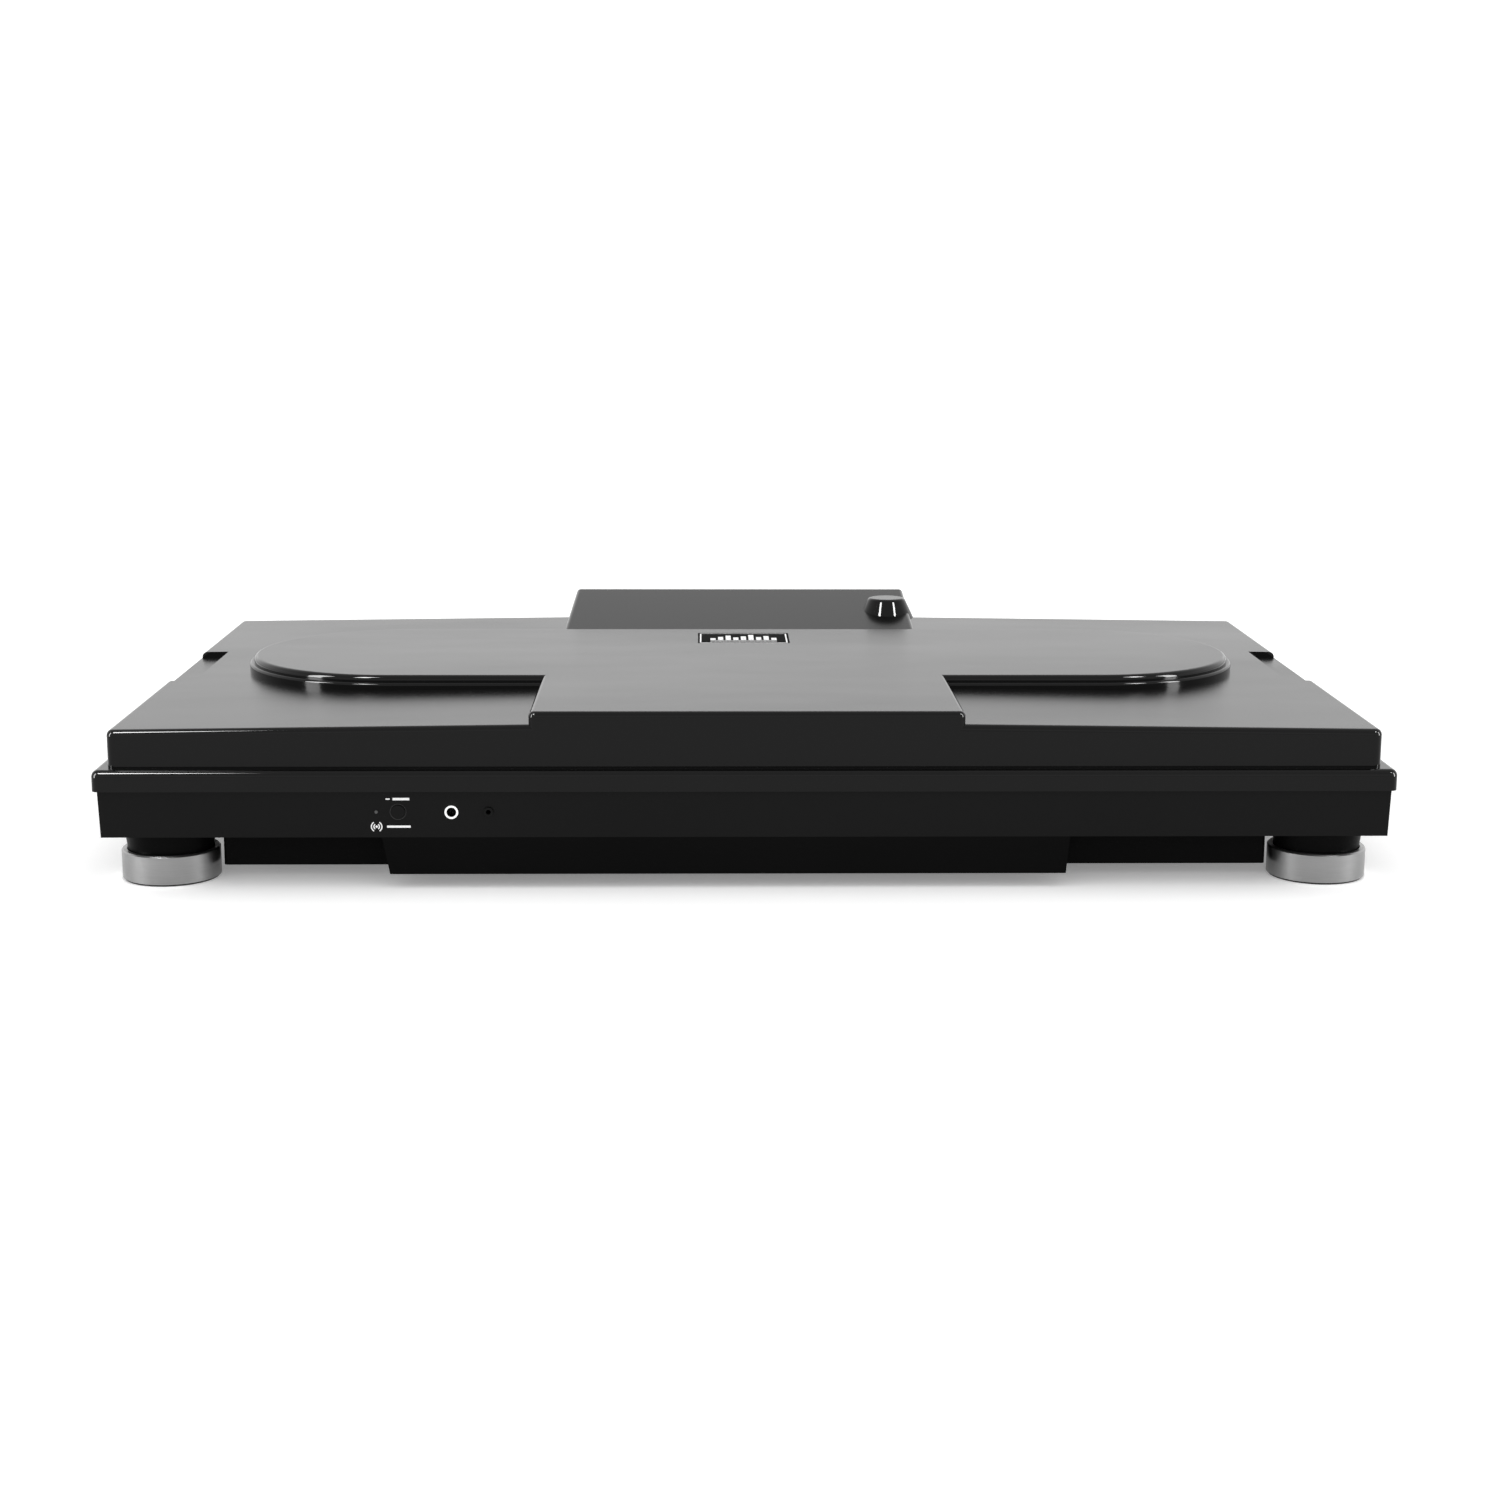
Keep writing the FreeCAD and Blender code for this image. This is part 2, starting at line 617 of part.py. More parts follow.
def make_lower_case():
    """A moulded tray, open upwards, narrowing slightly towards its floor."""
    body = new_body("lower_case")
    tapered(body, "case_block", ("case_underside", PANEL_UNDER),
            both(f"{HALF_LENGTH} - case_draft"), both(f"{HALF_DEPTH} - case_draft"),
            both(HALF_LENGTH), both(HALF_DEPTH))
    box(body, "case_inside", both(INNER_LENGTH), both(INNER_DEPTH), (CASE_FLOOR, PANEL_UNDER), cut=True)
    for index, (x, y) in enumerate(screw_places()):
        rod(body, f"boss_{index}", "Z", (x, y, "case_underside"), "boss_radius",
            f"{PANEL_UNDER} - case_underside")
        rod(body, f"boss_hole_{index}", "Z", (x, y, "case_underside"), "screw_radius + thread_gap",
            "screw_reach + thread_gap", cut=True)
    for index, (x, y) in enumerate(main_board_corners()):
        rod(body, f"standoff_{index}", "Z", (x, y, "case_underside"), "standoff_radius",
            "case_wall + main_board_lift")
    wall = f"{FRONT_FACE} - 1"
    for name, x, radius in front_holes():
        rod(body, name, "Y", (x, wall, "front_parts_height"), radius, "case_wall + 2", cut=True)
    box(body, "jack_window", both("bay_window_half"), (INNER_DEPTH, f"{HALF_DEPTH} + 1"),
        ("window_bottom", "window_top"), cut=True)
    return body


def front_holes():
    return [
        ("large_jack_hole", "-large_jack_x", "large_jack_tube + jack_gap"),
        ("small_jack_hole", "-small_jack_x", "small_jack_tube + jack_gap"),
        ("pairing_hole", "-pairing_x", "pairing_radius + pairing_gap"),
        ("light_hole", "-light_x", "light_radius + jack_gap"),
    ]


def main_board_corners():
    inset = "2 * standoff_radius"
    return [(f"({side} * (main_board_half_length - {inset}))", y) for side in (-1, 1)
            for y in (f"(-main_board_front + {inset})", f"(main_board_back - {inset})")]


def make_top_panel():
    """The playing surface, with one opening for each control."""
    body = new_body("top_panel")
    box(body, "panel_plate", both(HALF_LENGTH), both(HALF_DEPTH), (PANEL_UNDER, "panel_top"))
    round_edges(body, "panel_rim", "panel_edge_radius", level_edge(value("panel_top")))
    openings = sketch_on(body, "openings", "XY_Plane", PANEL_UNDER)
    for sign in (-1, 1):
        draw_circle(openings, f"{sign} * jog_x", "jog_y", "jog_hub_radius + 2")
    for name, x, y in KNOBS:
        draw_circle(openings, x, y, "knob_shaft_radius + knob_shaft_gap")
    for name, x, y in DECK_BUTTONS:
        draw_circle(openings, x, y, "deck_button_radius + deck_button_gap")
    for name, x, y, axis, travel in FADERS:
        spans = along(axis, x, y, f"{travel} / 2 + stem_width / 2 + slot_margin", "slot_half_width")
        draw_outline(openings, rectangle(*spans))
    for side, edge, sign in DECKS:
        for x, y in pad_spans(edge):
            wide = (f"{x[0]} - pad_gap", f"{x[1]} + pad_gap")
            deep = (f"{y[0]} - pad_gap", f"{y[1]} + pad_gap")
            draw_outline(openings, rectangle(wide, deep))
    pocket = body.newObject("PartDesign::Pocket", "control_openings")
    pocket.Profile = openings
    pocket.Reversed = True
    bind(pocket, "Length", "panel_thickness")
    openings.Visibility = False
    return body


def make_base_pan():
    """A folded tray screwed under the case, set back from its edges."""
    body = new_body("base_pan")
    box(body, "pan_block", both("pan_half_length"), both("pan_half_depth"), ("pan_bottom", "case_underside"))
    round_edges(body, "pan_corners", "3 * pan_wall",
                upright_edge(value("pan_half_length"), value("pan_half_depth")))
    box(body, "pan_inside", both("pan_half_length - pan_wall"), both("pan_half_depth - pan_wall"),
        ("pan_bottom + pan_wall", "case_underside"), cut=True)
    return body


def make_centre_bay():
    """The deeper front section under the case, open upwards, against the pan's front wall."""
    body = new_body("centre_bay")
    back = "(-pan_half_depth)"
    tapered(body, "bay_block", ("bay_bottom", "case_underside"),
            ("-bay_left + bay_left_draft", "bay_right - bay_right_draft"),
            (f"{FRONT_FACE} + case_draft + bay_front_draft", back),
            ("-bay_left", "bay_right"), (f"{FRONT_FACE} + case_draft", back))
    tapered(body, "bay_inside", ("bay_bottom + bay_wall", "case_underside"),
            ("-bay_left + bay_left_draft + bay_wall", "bay_right - bay_right_draft - bay_wall"),
            (f"{FRONT_FACE} + case_draft + bay_front_draft + bay_wall", f"{back} - bay_wall"),
            ("-bay_left + bay_wall", "bay_right - bay_wall"),
            (f"{FRONT_FACE} + case_draft + bay_wall", f"{back} - bay_wall"), cut=True)
    return body


def make_case_screws():
    screws = []
    for index, (x, y) in enumerate(screw_places()):
        shank = part_rod(f"shank_{index}", "Z", (x, y, "case_underside"), "screw_radius", "screw_reach")
        head = part_rod(f"head_{index}", "Z", (x, y, "case_underside - screw_head_height"),
                        "screw_head_radius", "screw_head_height")
        screws.append(fused(f"screw_{index}", [shank, head]))
    return group("case_screws", screws)


# ---------------------------------------------------------------- feet

def foot_places():
    return [(f"({side} * foot_x)", f"({end} * foot_y)") for side in (-1, 1) for end in (-1, 1)]


def make_foot_necks():
    """Each neck is a core that the ring sits round, and a cone that widens towards the case."""
    necks = []
    core_radius = "foot_radius - foot_ring_wall - foot_ring_gap"
    for index, (x, y) in enumerate(foot_places()):
        core = part_rod(f"neck_core_{index}", "Z", (x, y, "foot_sole_height"), core_radius,
                        "foot_ring_top - foot_sole_height - foot_ring_wall / 2")
        flare = part_cone(f"neck_flare_{index}", (x, y, "foot_ring_top - foot_ring_wall / 2"),
                          "foot_waist_radius", "foot_neck_radius",
                          "case_underside - foot_ring_top + foot_ring_wall / 2")
        necks.append(fused(f"neck_{index}", [core, flare]))
    return group("foot_necks", necks)


def make_foot_rings():
    """Turned metal rings, bevelled round the upper edge."""
    rings = []
    for index, (x, y) in enumerate(foot_places()):
        barrel = part_rod(f"ring_barrel_{index}", "Z", (x, y, "foot_sole_height"), "foot_radius",
                          "foot_ring_top - foot_sole_height - foot_ring_chamfer")
        bevel = part_cone(f"ring_bevel_{index}", (x, y, "foot_ring_top - foot_ring_chamfer"),
                          "foot_radius", "foot_radius - foot_ring_chamfer", "foot_ring_chamfer")
        bore = part_rod(f"ring_bore_{index}", "Z", (x, y, "foot_sole_height - 1"),
                        "foot_radius - foot_ring_wall", "foot_ring_top + 2")
        rings.append(minus(f"ring_{index}", fused(f"ring_solid_{index}", [barrel, bevel]), bore))
    return group("foot_rings", rings)


def make_foot_soles():
    return group("foot_soles", [
        part_rod(f"sole_{index}", "Z", (x, y, "0"), "foot_sole_radius", "foot_sole_height")
        for index, (x, y) in enumerate(foot_places())])


# ---------------------------------------------------------------- dust cover

def make_dust_cover():
    """A formed sheet: the outer skin is built up and rounded, then the hollow is cut one wall inside it."""
    body = new_body("dust_cover")
    box(body, "skirt", both(SKIRT_X), both(SKIRT_Y), ("cover_skirt_bottom", LEDGE_TOP))
    round_edges(body, "skirt_corners", "cover_corner_radius", upright_edge(value(SKIRT_X), value(SKIRT_Y)))
    round_edges(body, "skirt_top", "cover_skirt_radius", level_edge(value(LEDGE_TOP)))
    pitched(body, "upper_body", BODY_X, both(BODY_Y), LEDGE_TOP)
    round_edges(body, "body_corners", "cover_corner_radius", upright_edge(value(BODY_X), value(BODY_Y)))
    round_edges(body, "roof_edge", "cover_roof_radius", roof_rim)
    add_bridge(body)
    add_hump(body)
    cut_recesses(body)
    cut_hollow(body)
    box(body, "badge_pocket_cut", around("badge_x", "badge_length / 2"), around("badge_y", "badge_depth / 2"),
        ("cover_raised - badge_pocket", "cover_raised"), cut=True)
    return body


def roof_rim(edge):
    """True for the edges round the lower roof, and not for its ridge."""
    bounds = edge.BoundBox
    return bounds.ZMin > value("cover_roof") - 0.2 and max(abs(bounds.XMin), abs(bounds.XMax)) > 1


def slot_shape(body, name, radius, z, cut=False):
    """A long rounded shape over both jog wheels."""
    low, high = z
    length = f"{high} - ({low})"
    box(body, f"{name}_middle", both("jog_x"), around("jog_y", radius), z, cut)
    for side, sign in (("left", -1), ("right", 1)):
        rod(body, f"{name}_{side}", "Z", (f"{sign} * jog_x", "jog_y", low), radius, length, cut)


def add_bridge(body):
    """The raised bridge with its lower tier, and the block over the mixer that joins it."""
    tier_top = "cover_raised - bridge_step_drop"
    inside = "cover_roof - cover_wall"
    slot_shape(body, "tier", "bridge_radius + bridge_step", (inside, tier_top))
    round_edges(body, "tier_edge", "bridge_step_radius", level_edge(value(tier_top)))
    slot_shape(body, "bridge", "bridge_radius", (inside, "cover_raised"))
    block_z = f"{LEDGE_TOP} + cover_corner_radius", "cover_raised"
    box(body, "mixer_block", both("block_half_width"), (f"-{BODY_Y} + block_corner_radius", "jog_y"), block_z)
    box(body, "block_front", both("block_half_width - block_corner_radius"), (f"-{BODY_Y}", "0"), block_z)
    for side, sign in (("left", -1), ("right", 1)):
        rod(body, f"block_{side}_corner", "Z", (f"{sign} * (block_half_width - block_corner_radius)",
            f"-{BODY_Y} + block_corner_radius", block_z[0]), "block_corner_radius",
            f"{block_z[1]} - ({block_z[0]})")
    round_edges(body, "raised_edge", "cover_raised_radius", level_edge(value("cover_raised")))


def add_hump(body):
    """The sloping roof over the screen and the dome over the browse knob."""
    tapered(body, "hump", ("cover_roof", "hump_top"),
            both("hump_base_half"), ("hump_front", BODY_Y),
            ("-hump_top_left", "hump_top_right"), (f"{BODY_Y} - 0.1", BODY_Y))
    slope_edges = value("cover_roof + cover_camber") + 1, value("hump_top") - 1

    def hump_edge(edge):
        bounds = edge.BoundBox
        rises = bounds.ZMin < slope_edges[0] and bounds.ZMax > slope_edges[1]
        return rises and bounds.YLength > 50
    round_edges(body, "hump_sides", "hump_radius", hump_edge)
    cone(body, "dome", ("dome_x", "dome_y", "dome_top - dome_height"), "dome_base_radius",
         "dome_top_radius", "dome_height")
    round_edges(body, "dome_edge", "dome_edge_radius", level_edge(value("dome_top")))


def cut_recesses(body):
    """Finger recesses, open to both sides."""
    for side, sign in (("left", -1), ("right", 1)):
        low = f"-{SKIRT_X}" if sign < 0 else "recess_start"
        high = "-recess_start" if sign < 0 else SKIRT_X
        box(body, f"{side}_recess", (low, high), ("-recess_front", "recess_back"),
            ("cover_roof - recess_depth", "cover_roof + cover_camber"), cut=True)


def cut_hollow(body):
    """The space inside the sheet. Beside each recess the hollow stops short of the recess's walls."""
    inner_x = f"({BODY_X} - cover_wall)"
    inner_y = f"({BODY_Y} - cover_wall)"
    recess_under = "(cover_roof - recess_depth - cover_wall)"
    roof_under = "(cover_roof - cover_wall)"
    raised_under = "(cover_raised - cover_wall)"
    box(body, "skirt_hollow", both(f"{SKIRT_X} - cover_wall"), both(f"{SKIRT_Y} - cover_wall"),
        ("cover_skirt_bottom", f"{LEDGE_TOP} - cover_wall"), cut=True)
    box(body, "body_hollow", both(inner_x), both(inner_y), ("cover_skirt_bottom", recess_under), cut=True)
    pitched(body, "roof_hollow", "recess_start - cover_wall", both(inner_y), recess_under, "cover_wall", cut=True)
    pitched(body, "front_hollow", inner_x, (f"-{inner_y}", "-recess_front - cover_wall"), recess_under,
            "cover_wall", cut=True)
    pitched(body, "back_hollow", inner_x, ("recess_back + cover_wall", inner_y), recess_under,
            "cover_wall", cut=True)
    slot_shape(body, "bridge_hollow", "bridge_radius - cover_wall", (recess_under, raised_under), cut=True)
    box(body, "block_hollow", both("block_half_width - cover_wall"), (f"-{inner_y}", "jog_y"),
        (recess_under, raised_under), cut=True)
    tapered(body, "hump_hollow", (roof_under, "hump_top - 1.25 * cover_wall"),
            both("hump_base_half - cover_wall"), ("hump_front", inner_y),
            ("-hump_top_left + cover_wall", "hump_top_right - cover_wall"), (f"{inner_y} - 0.1", inner_y),
            cut=True)
    cone(body, "dome_hollow", ("dome_x", "dome_y", "dome_top - dome_height - cover_wall"),
         "dome_base_radius - cover_wall", "dome_top_radius - cover_wall", "dome_height", cut=True)


def make_cover_badge():
    """A thin plate let into the raised roof."""
    body = new_body("cover_badge")
    floor = "cover_raised - badge_pocket"
    box(body, "badge_plate", around("badge_x", "badge_length / 2 - badge_gap"),
        around("badge_y", "badge_depth / 2 - badge_gap"), (floor, f"{floor} + badge_thickness"))
    return body


# ---------------------------------------------------------------- jog wheels

def make_jog_wheel(side, sign):
    """A moulded wheel with a raised rim, a dished top for its plate and a hub that reaches the bearing."""
    body = new_body(f"{side}_jog_wheel")
    bore = "jog_spindle_radius + jog_spindle_gap"
    seat = "jog_rim_top - jog_plate_thickness - 1"
    inner = "jog_radius - jog_dish"
    turned(body, "wheel", [
        (bore, "jog_hub_bottom"),
        ("jog_hub_radius", "jog_hub_bottom"),
        ("jog_hub_radius", "jog_underside"),
        ("jog_radius - 4", "jog_underside"),
        ("jog_radius", "jog_underside + 4"),
        ("jog_radius", "jog_rim_top - 6"),
        ("jog_radius - 3", "jog_rim_top"),
        (inner, "jog_rim_top"),
        (inner, seat),
        (bore, seat),
    ])
    bind_corner(body, f"{sign} * jog_x", "jog_y", "0")
    return body


def make_jog_plate(side, sign):
    """The metal plate that lies in the wheel's dish."""
    body = new_body(f"{side}_jog_plate")
    seat = "jog_rim_top - jog_plate_thickness - 1"
    rod(body, "plate", "Z", ("0", "0", seat), "jog_radius - jog_dish - 0.2", "jog_plate_thickness")
    round_edges(body, "plate_edge", "jog_plate_thickness / 4",
                level_edge(value(f"{seat} + jog_plate_thickness")))
    bind_corner(body, f"{sign} * jog_x", "jog_y", "0")
    return body


def make_jog_bearings():
    """A flanged post for each jog wheel, standing on the case's floor."""
    posts = []
    for side, sign in (("left", -1), ("right", 1)):
        start = (f"{sign} * jog_x", "jog_y", CASE_FLOOR)
        flange = part_rod(f"{side}_flange", "Z", start, "jog_flange_radius", "jog_flange_height")
        post = part_rod(f"{side}_post", "Z", start, "jog_spindle_radius",
                        f"jog_underside - {CASE_FLOOR}")
        posts.append(fused(f"{side}_bearing", [flange, post]))
    return group("jog_bearings", posts)


# ---------------------------------------------------------------- screen

def screen_slab(feature, x, offset, start, length, thickness):
    """Lay a box on the screen housing's slope, sunk by an offset below it."""
    feature.Placement = Placement(Vector(), Rotation(Vector(1, 0, 0), 10))
    bind(feature, "Placement.Rotation.Angle", SLOPE)
    bind(feature, "Length", f"({x[1]}) - ({x[0]})")
    bind(feature, "Width", length)
    bind(feature, "Height", thickness)
    bind_corner(feature, x[0],
                f"screen_front + ({start}) * cos({SLOPE}) + ({offset}) * sin({SLOPE})",
                f"screen_low + ({start}) * sin({SLOPE}) - ({offset}) * cos({SLOPE})")
    return feature


def glass_x(margin):
    return f"-glass_left + ({margin})", f"glass_right - ({margin})"


def make_screen_housing():
    """A wedge-shaped shell on the back of the panel, with a recess for the glass."""
    body = new_body("screen_housing")
    box(body, "housing_base", both("screen_half_base"), ("screen_front", "screen_back"),
        ("panel_top", "screen_low"))
    tapered(body, "housing_slope", ("screen_low", "screen_high"),
            both("screen_half_base"), ("screen_front", "screen_back"),
            both("screen_half_top"), ("screen_back - 0.1", "screen_back"))
    inner_front = "screen_front + screen_wall"
    inner_back = "screen_back - screen_wall"
    box(body, "base_hollow", both("screen_half_base - screen_wall"), (inner_front, inner_back),
        ("panel_top", "screen_low - screen_wall"), cut=True)
    tapered(body, "slope_hollow", ("screen_low - screen_wall", "screen_high - 1.25 * screen_wall"),
            both("screen_half_base - screen_wall"), (inner_front, inner_back),
            both("screen_half_top - screen_wall"), (f"{inner_back} - 0.1", inner_back), cut=True)
    recess = body.newObject("PartDesign::SubtractiveBox", "glass_recess")
    screen_slab(recess, glass_x("-glass_gap"), "glass_thickness", "glass_start - glass_gap",
                "glass_span + 2 * glass_gap", "glass_thickness + 5")
    window = body.newObject("PartDesign::SubtractiveBox", "display_window")
    screen_slab(window, glass_x("display_margin + 2"), "2 * screen_wall", "glass_start + display_margin + 2",
                "glass_span - 2 * display_margin - 4", "2 * screen_wall")
    rod(body, "browse_hole", "Z", ("dome_x", "dome_y", "screen_low - screen_wall"),
        "knob_shaft_radius + knob_shaft_gap", "screen_high - screen_low + screen_wall", cut=True)
    return body


def make_screen_glass():
    body = new_body("screen_glass")
    plate = body.newObject("PartDesign::AdditiveBox", "glass_plate")
    screen_slab(plate, glass_x("0"), "glass_thickness", "glass_start", "glass_span", "glass_thickness")
    return body


def make_display_module():
    """The display under the housing's slope, behind the window."""
    body = new_body("display_module")
    module = body.newObject("PartDesign::AdditiveBox", "display_block")
    screen_slab(module, glass_x("display_margin"), "1.25 * screen_wall + display_thickness + 0.3",
                "glass_start + display_margin", "glass_span - 2 * display_margin", "display_thickness")
    return body


# ---------------------------------------------------------------- knobs, faders and buttons

def make_knob(label, x, y, foot, top, lower, upper, bottom):
    """A tapered knob with a pointer groove, on a shaft that goes through the surface below."""
    body = new_body(label)
    height = f"({top}) - ({foot})"
    cone(body, "cap", ("0", "0", foot), lower, upper, height)
    round_edges(body, "cap_edge", "0.8", level_edge(value(top)))
    rod(body, "shaft", "Z", ("0", "0", bottom), "knob_shaft_radius", f"({foot}) - ({bottom})")
    box(body, "pointer", around("0", "pointer_width / 2"), (f"({upper}) * 0.35", f"({lower}) + 1"),
        (f"({top}) - 0.6", f"({top}) + 1"), cut=True)
    bind_corner(body, x, y, "0")
    return body


def make_channel_knob(label, x, y):
    foot = "panel_top + knob_lift"
    return make_knob(label, x, y, foot, f"{foot} + knob_height", "knob_skirt_radius",
                     "knob_top_radius", "panel_top - knob_shaft_reach")


def make_browse_knob():
    return make_knob("browse_knob", "dome_x", "dome_y", "browse_bottom", "browse_top",
                     "browse_radius", "browse_radius - 1", "screen_low")


def make_fader(label, x, y, axis):
    """A tapered cap with a centre groove on a flat stem."""
    body = new_body(label)
    foot = "panel_top + cap_lift"
    top = f"{foot} + cap_height"
    low_x, low_y = along(axis, "0", "0", "cap_width / 2", "cap_length / 2")
    high_x, high_y = along(axis, "0", "0", "cap_width / 2 - cap_draft", "cap_length / 2 - 1")
    tapered(body, "cap", (foot, top), low_x, low_y, high_x, high_y)
    stem_x, stem_y = along(axis, "0", "0", "stem_width / 2", "stem_thickness / 2")
    box(body, "stem", stem_x, stem_y, ("stem_bottom", foot))
    groove_x, groove_y = along(axis, "0", "0", "pointer_width / 2", "cap_length / 2")
    box(body, "centre_line", groove_x, groove_y, (f"{top} - 0.6", f"{top} + 1"), cut=True)
    bind_corner(body, x, y, "0")
    return body


def make_fader_tracks():
    """A folded steel channel under the panel for each fader, slotted for the stem."""
    tracks = []
    for name, x, y, axis, travel in FADERS:
        half = f"{travel} / 2 + stem_width / 2 + slot_margin + 4"
        low = f"{PANEL_UNDER} - track_depth"
        outer_x, outer_y = along(axis, x, y, half, "track_width / 2")
        inner_x, inner_y = along(axis, x, y, f"{half} - track_wall", "track_width / 2 - track_wall")
        slot_x, slot_y = along(axis, x, y, f"{half} - 4", "slot_half_width")
        shell = part_box(f"{name}_track_block", outer_x, outer_y, (low, PANEL_UNDER))
        inside = part_box(f"{name}_track_inside", inner_x, inner_y,
                          (f"{low} - 1", f"{PANEL_UNDER} - track_wall"))
        slot = part_box(f"{name}_track_slot", slot_x, slot_y, (low, f"{PANEL_UNDER} + 1"))
        tracks.append(minus(f"{name}_track", minus(f"{name}_channel", shell, inside), slot))
    return group("fader_tracks", tracks)


def make_deck_button(label, x, y):
    """A round button with a flange that stops it under the panel."""
    body = new_body(label)
    low = "panel_top - deck_button_reach"
    flange_top = f"{PANEL_UNDER} - 0.2"
    rod(body, "cap", "Z", ("0", "0", low), "deck_button_radius", "deck_button_reach + deck_button_lift")
    round_edges(body, "cap_edge", "1", level_edge(value("panel_top + deck_button_lift")))
    rod(body, "flange", "Z", ("0", "0", f"{flange_top} - 2"), "deck_button_radius + 2", "2")
    bind_corner(body, x, y, "0")
    return body


def make_pad_mats():
    """One moulded sheet for each deck, whose eight pads stand up through the panel."""
    mats = []
    for side, edge, sign in DECKS:
        spans = pad_spans(edge)
        sheet_x = (f"{spans[0][0][0]} - pad_border", f"{spans[-1][0][1]} + pad_border")
        sheet_y = (f"{spans[0][1][0]} - pad_border", f"{spans[-1][1][1]} + pad_border")
        pieces = [part_box(f"{side}_pad_sheet", sheet_x, sheet_y, (f"{PANEL_UNDER} - pad_sheet", PANEL_UNDER))]
        for index, (x, y) in enumerate(spans):
            pieces.append(part_box(f"{side}_pad_{index}", x, y,
                                   (f"{PANEL_UNDER} - pad_sheet / 2", "panel_top + pad_lift")))
        mats.append(fused(f"{side}_mat", pieces))
    return group("pad_mats", mats)


# ---------------------------------------------------------------- front panel

def make_headphone_jack(label, x, bore, tube, length, block):
    """A socket: a turned nose through the case, on a moulded block behind it."""
    body = new_body(label)
    front = f"({FRONT_FACE} - jack_stand_out)"
    behind = f"(-{INNER_DEPTH} + 0.1)"
    rod(body, "nose", "Y", (x, front, "front_parts_height"), tube, f"{behind} - {front} + 1")
    box(body, "block", around(x, block), (behind, f"{front} + {length} + 2"),
        around("front_parts_height", block))
    rod(body, "socket", "Y", (x, front, "front_parts_height"), bore, length, cut=True)
    return body


def make_pairing_button():
    body = new_body("pairing_button")
    front = f"({FRONT_FACE} - pairing_stand_out)"
    rod(body, "cap", "Y", ("-pairing_x", front, "front_parts_height"), "pairing_radius", "pairing_length")
    rod(body, "flange", "Y", ("-pairing_x", f"-{INNER_DEPTH} + 0.3", "front_parts_height"),
        "pairing_radius + 1.2", "1.5")
    return body


def make_pairing_light():
    body = new_body("pairing_light")
    rod(body, "lens", "Y", ("-light_x", f"{FRONT_FACE} + 0.2", "front_parts_height"),
        "light_radius", "case_wall + 3")
    return body


# ---------------------------------------------------------------- rear panel

def make_rear_jack_plate():
    """A tray let into the back wall, with openings for the inlet and the power button."""
    body = new_body("rear_jack_plate")
    inner = INNER_DEPTH
    wide = "bay_window_half - window_gap"
    tall = ("window_bottom + window_gap", "window_top - window_gap")
    box(body, "tray", both(wide), (f"{PLATE_FACE} - plate_wall", inner), tall)
    box(body, "flange", both("bay_window_half + 6"), (f"{inner} - plate_wall", inner),
        ("window_bottom - 3", "window_top + 3"))
    box(body, "tray_inside", both(f"{wide} - plate_wall"), (PLATE_FACE, f"{inner} + 1"),
        (f"{tall[0]} + plate_wall", f"{tall[1]} - plate_wall"), cut=True)
    box(body, "inlet_opening", around("inlet_x", "inlet_half_length + window_gap"),
        (f"{PLATE_FACE} - plate_wall - 1", f"{PLATE_FACE} + 1"),
        around(window_middle(), "inlet_half_height + window_gap"), cut=True)
    rod(body, "power_opening", "Y", ("power_x", f"{PLATE_FACE} - plate_wall - 1", window_middle()),
        "power_radius + power_gap", "plate_wall + 2", cut=True)
    return body


def window_middle():
    return "(window_bottom + window_top) / 2"


def phono_places():
    return [f"(-phono_start - {index} * phono_pitch)" for index in range(4)]


def make_phono_sockets():
    """Four barrels on the jack plate, each with a hole for the plug's pin."""
    sockets = []
    for index, x in enumerate(phono_places()):
        barrel = part_rod(f"barrel_{index}", "Y", (x, PLATE_FACE, window_middle()), "phono_radius",
                          "phono_length")
        core = part_rod(f"core_{index}", "Y", (x, f"{PLATE_FACE} + 1", window_middle()), "phono_core",
                        "phono_length")
        sockets.append(minus(f"phono_{index}", barrel, core))
    return group("phono_sockets", sockets)


def make_power_inlet():
    """A mains inlet with three contacts, set through the jack plate."""
    face = f"({PLATE_FACE} + 1)"
    body_x = around("inlet_x", "inlet_half_length")
    body_z = around(window_middle(), "inlet_half_height")
    shell = part_box("inlet_block", body_x, (f"{face} - inlet_body", face), body_z)
    hollow = part_box("inlet_inside", around("inlet_x", "inlet_half_length - inlet_wall"),
                      (f"{face} - inlet_hollow", f"{face} + 1"),
                      around(window_middle(), "inlet_half_height - inlet_wall"))
    blades = []
    for index in (-1, 0, 1):
        middle = f"inlet_x + {index} * blade_pitch"
        rise = f"{window_middle()} + {2 if index == 0 else -1}"
        blades.append(part_box(f"blade_{index + 1}", around(middle, "1"),
                               (f"{face} - inlet_hollow - 1", f"{face} - inlet_hollow + blade_length"),
                               around(rise, "2")))
    inlet = fused("power_inlet", [minus("inlet_cup", shell, hollow)] + blades)
    inlet.Label = "power_inlet"
    return inlet


def make_power_button():
    body = new_body("power_button")
    face = f"({PLATE_FACE} + power_stand_out)"
    rod(body, "cap", "Y", ("power_x", f"{face} - power_length", window_middle()), "power_radius",
        "power_length")
    rod(body, "flange", "Y", ("power_x", f"{PLATE_FACE} - plate_wall - 2.2", window_middle()),
        "power_radius + 1.5", "2")
    return body


# ---------------------------------------------------------------- electronics

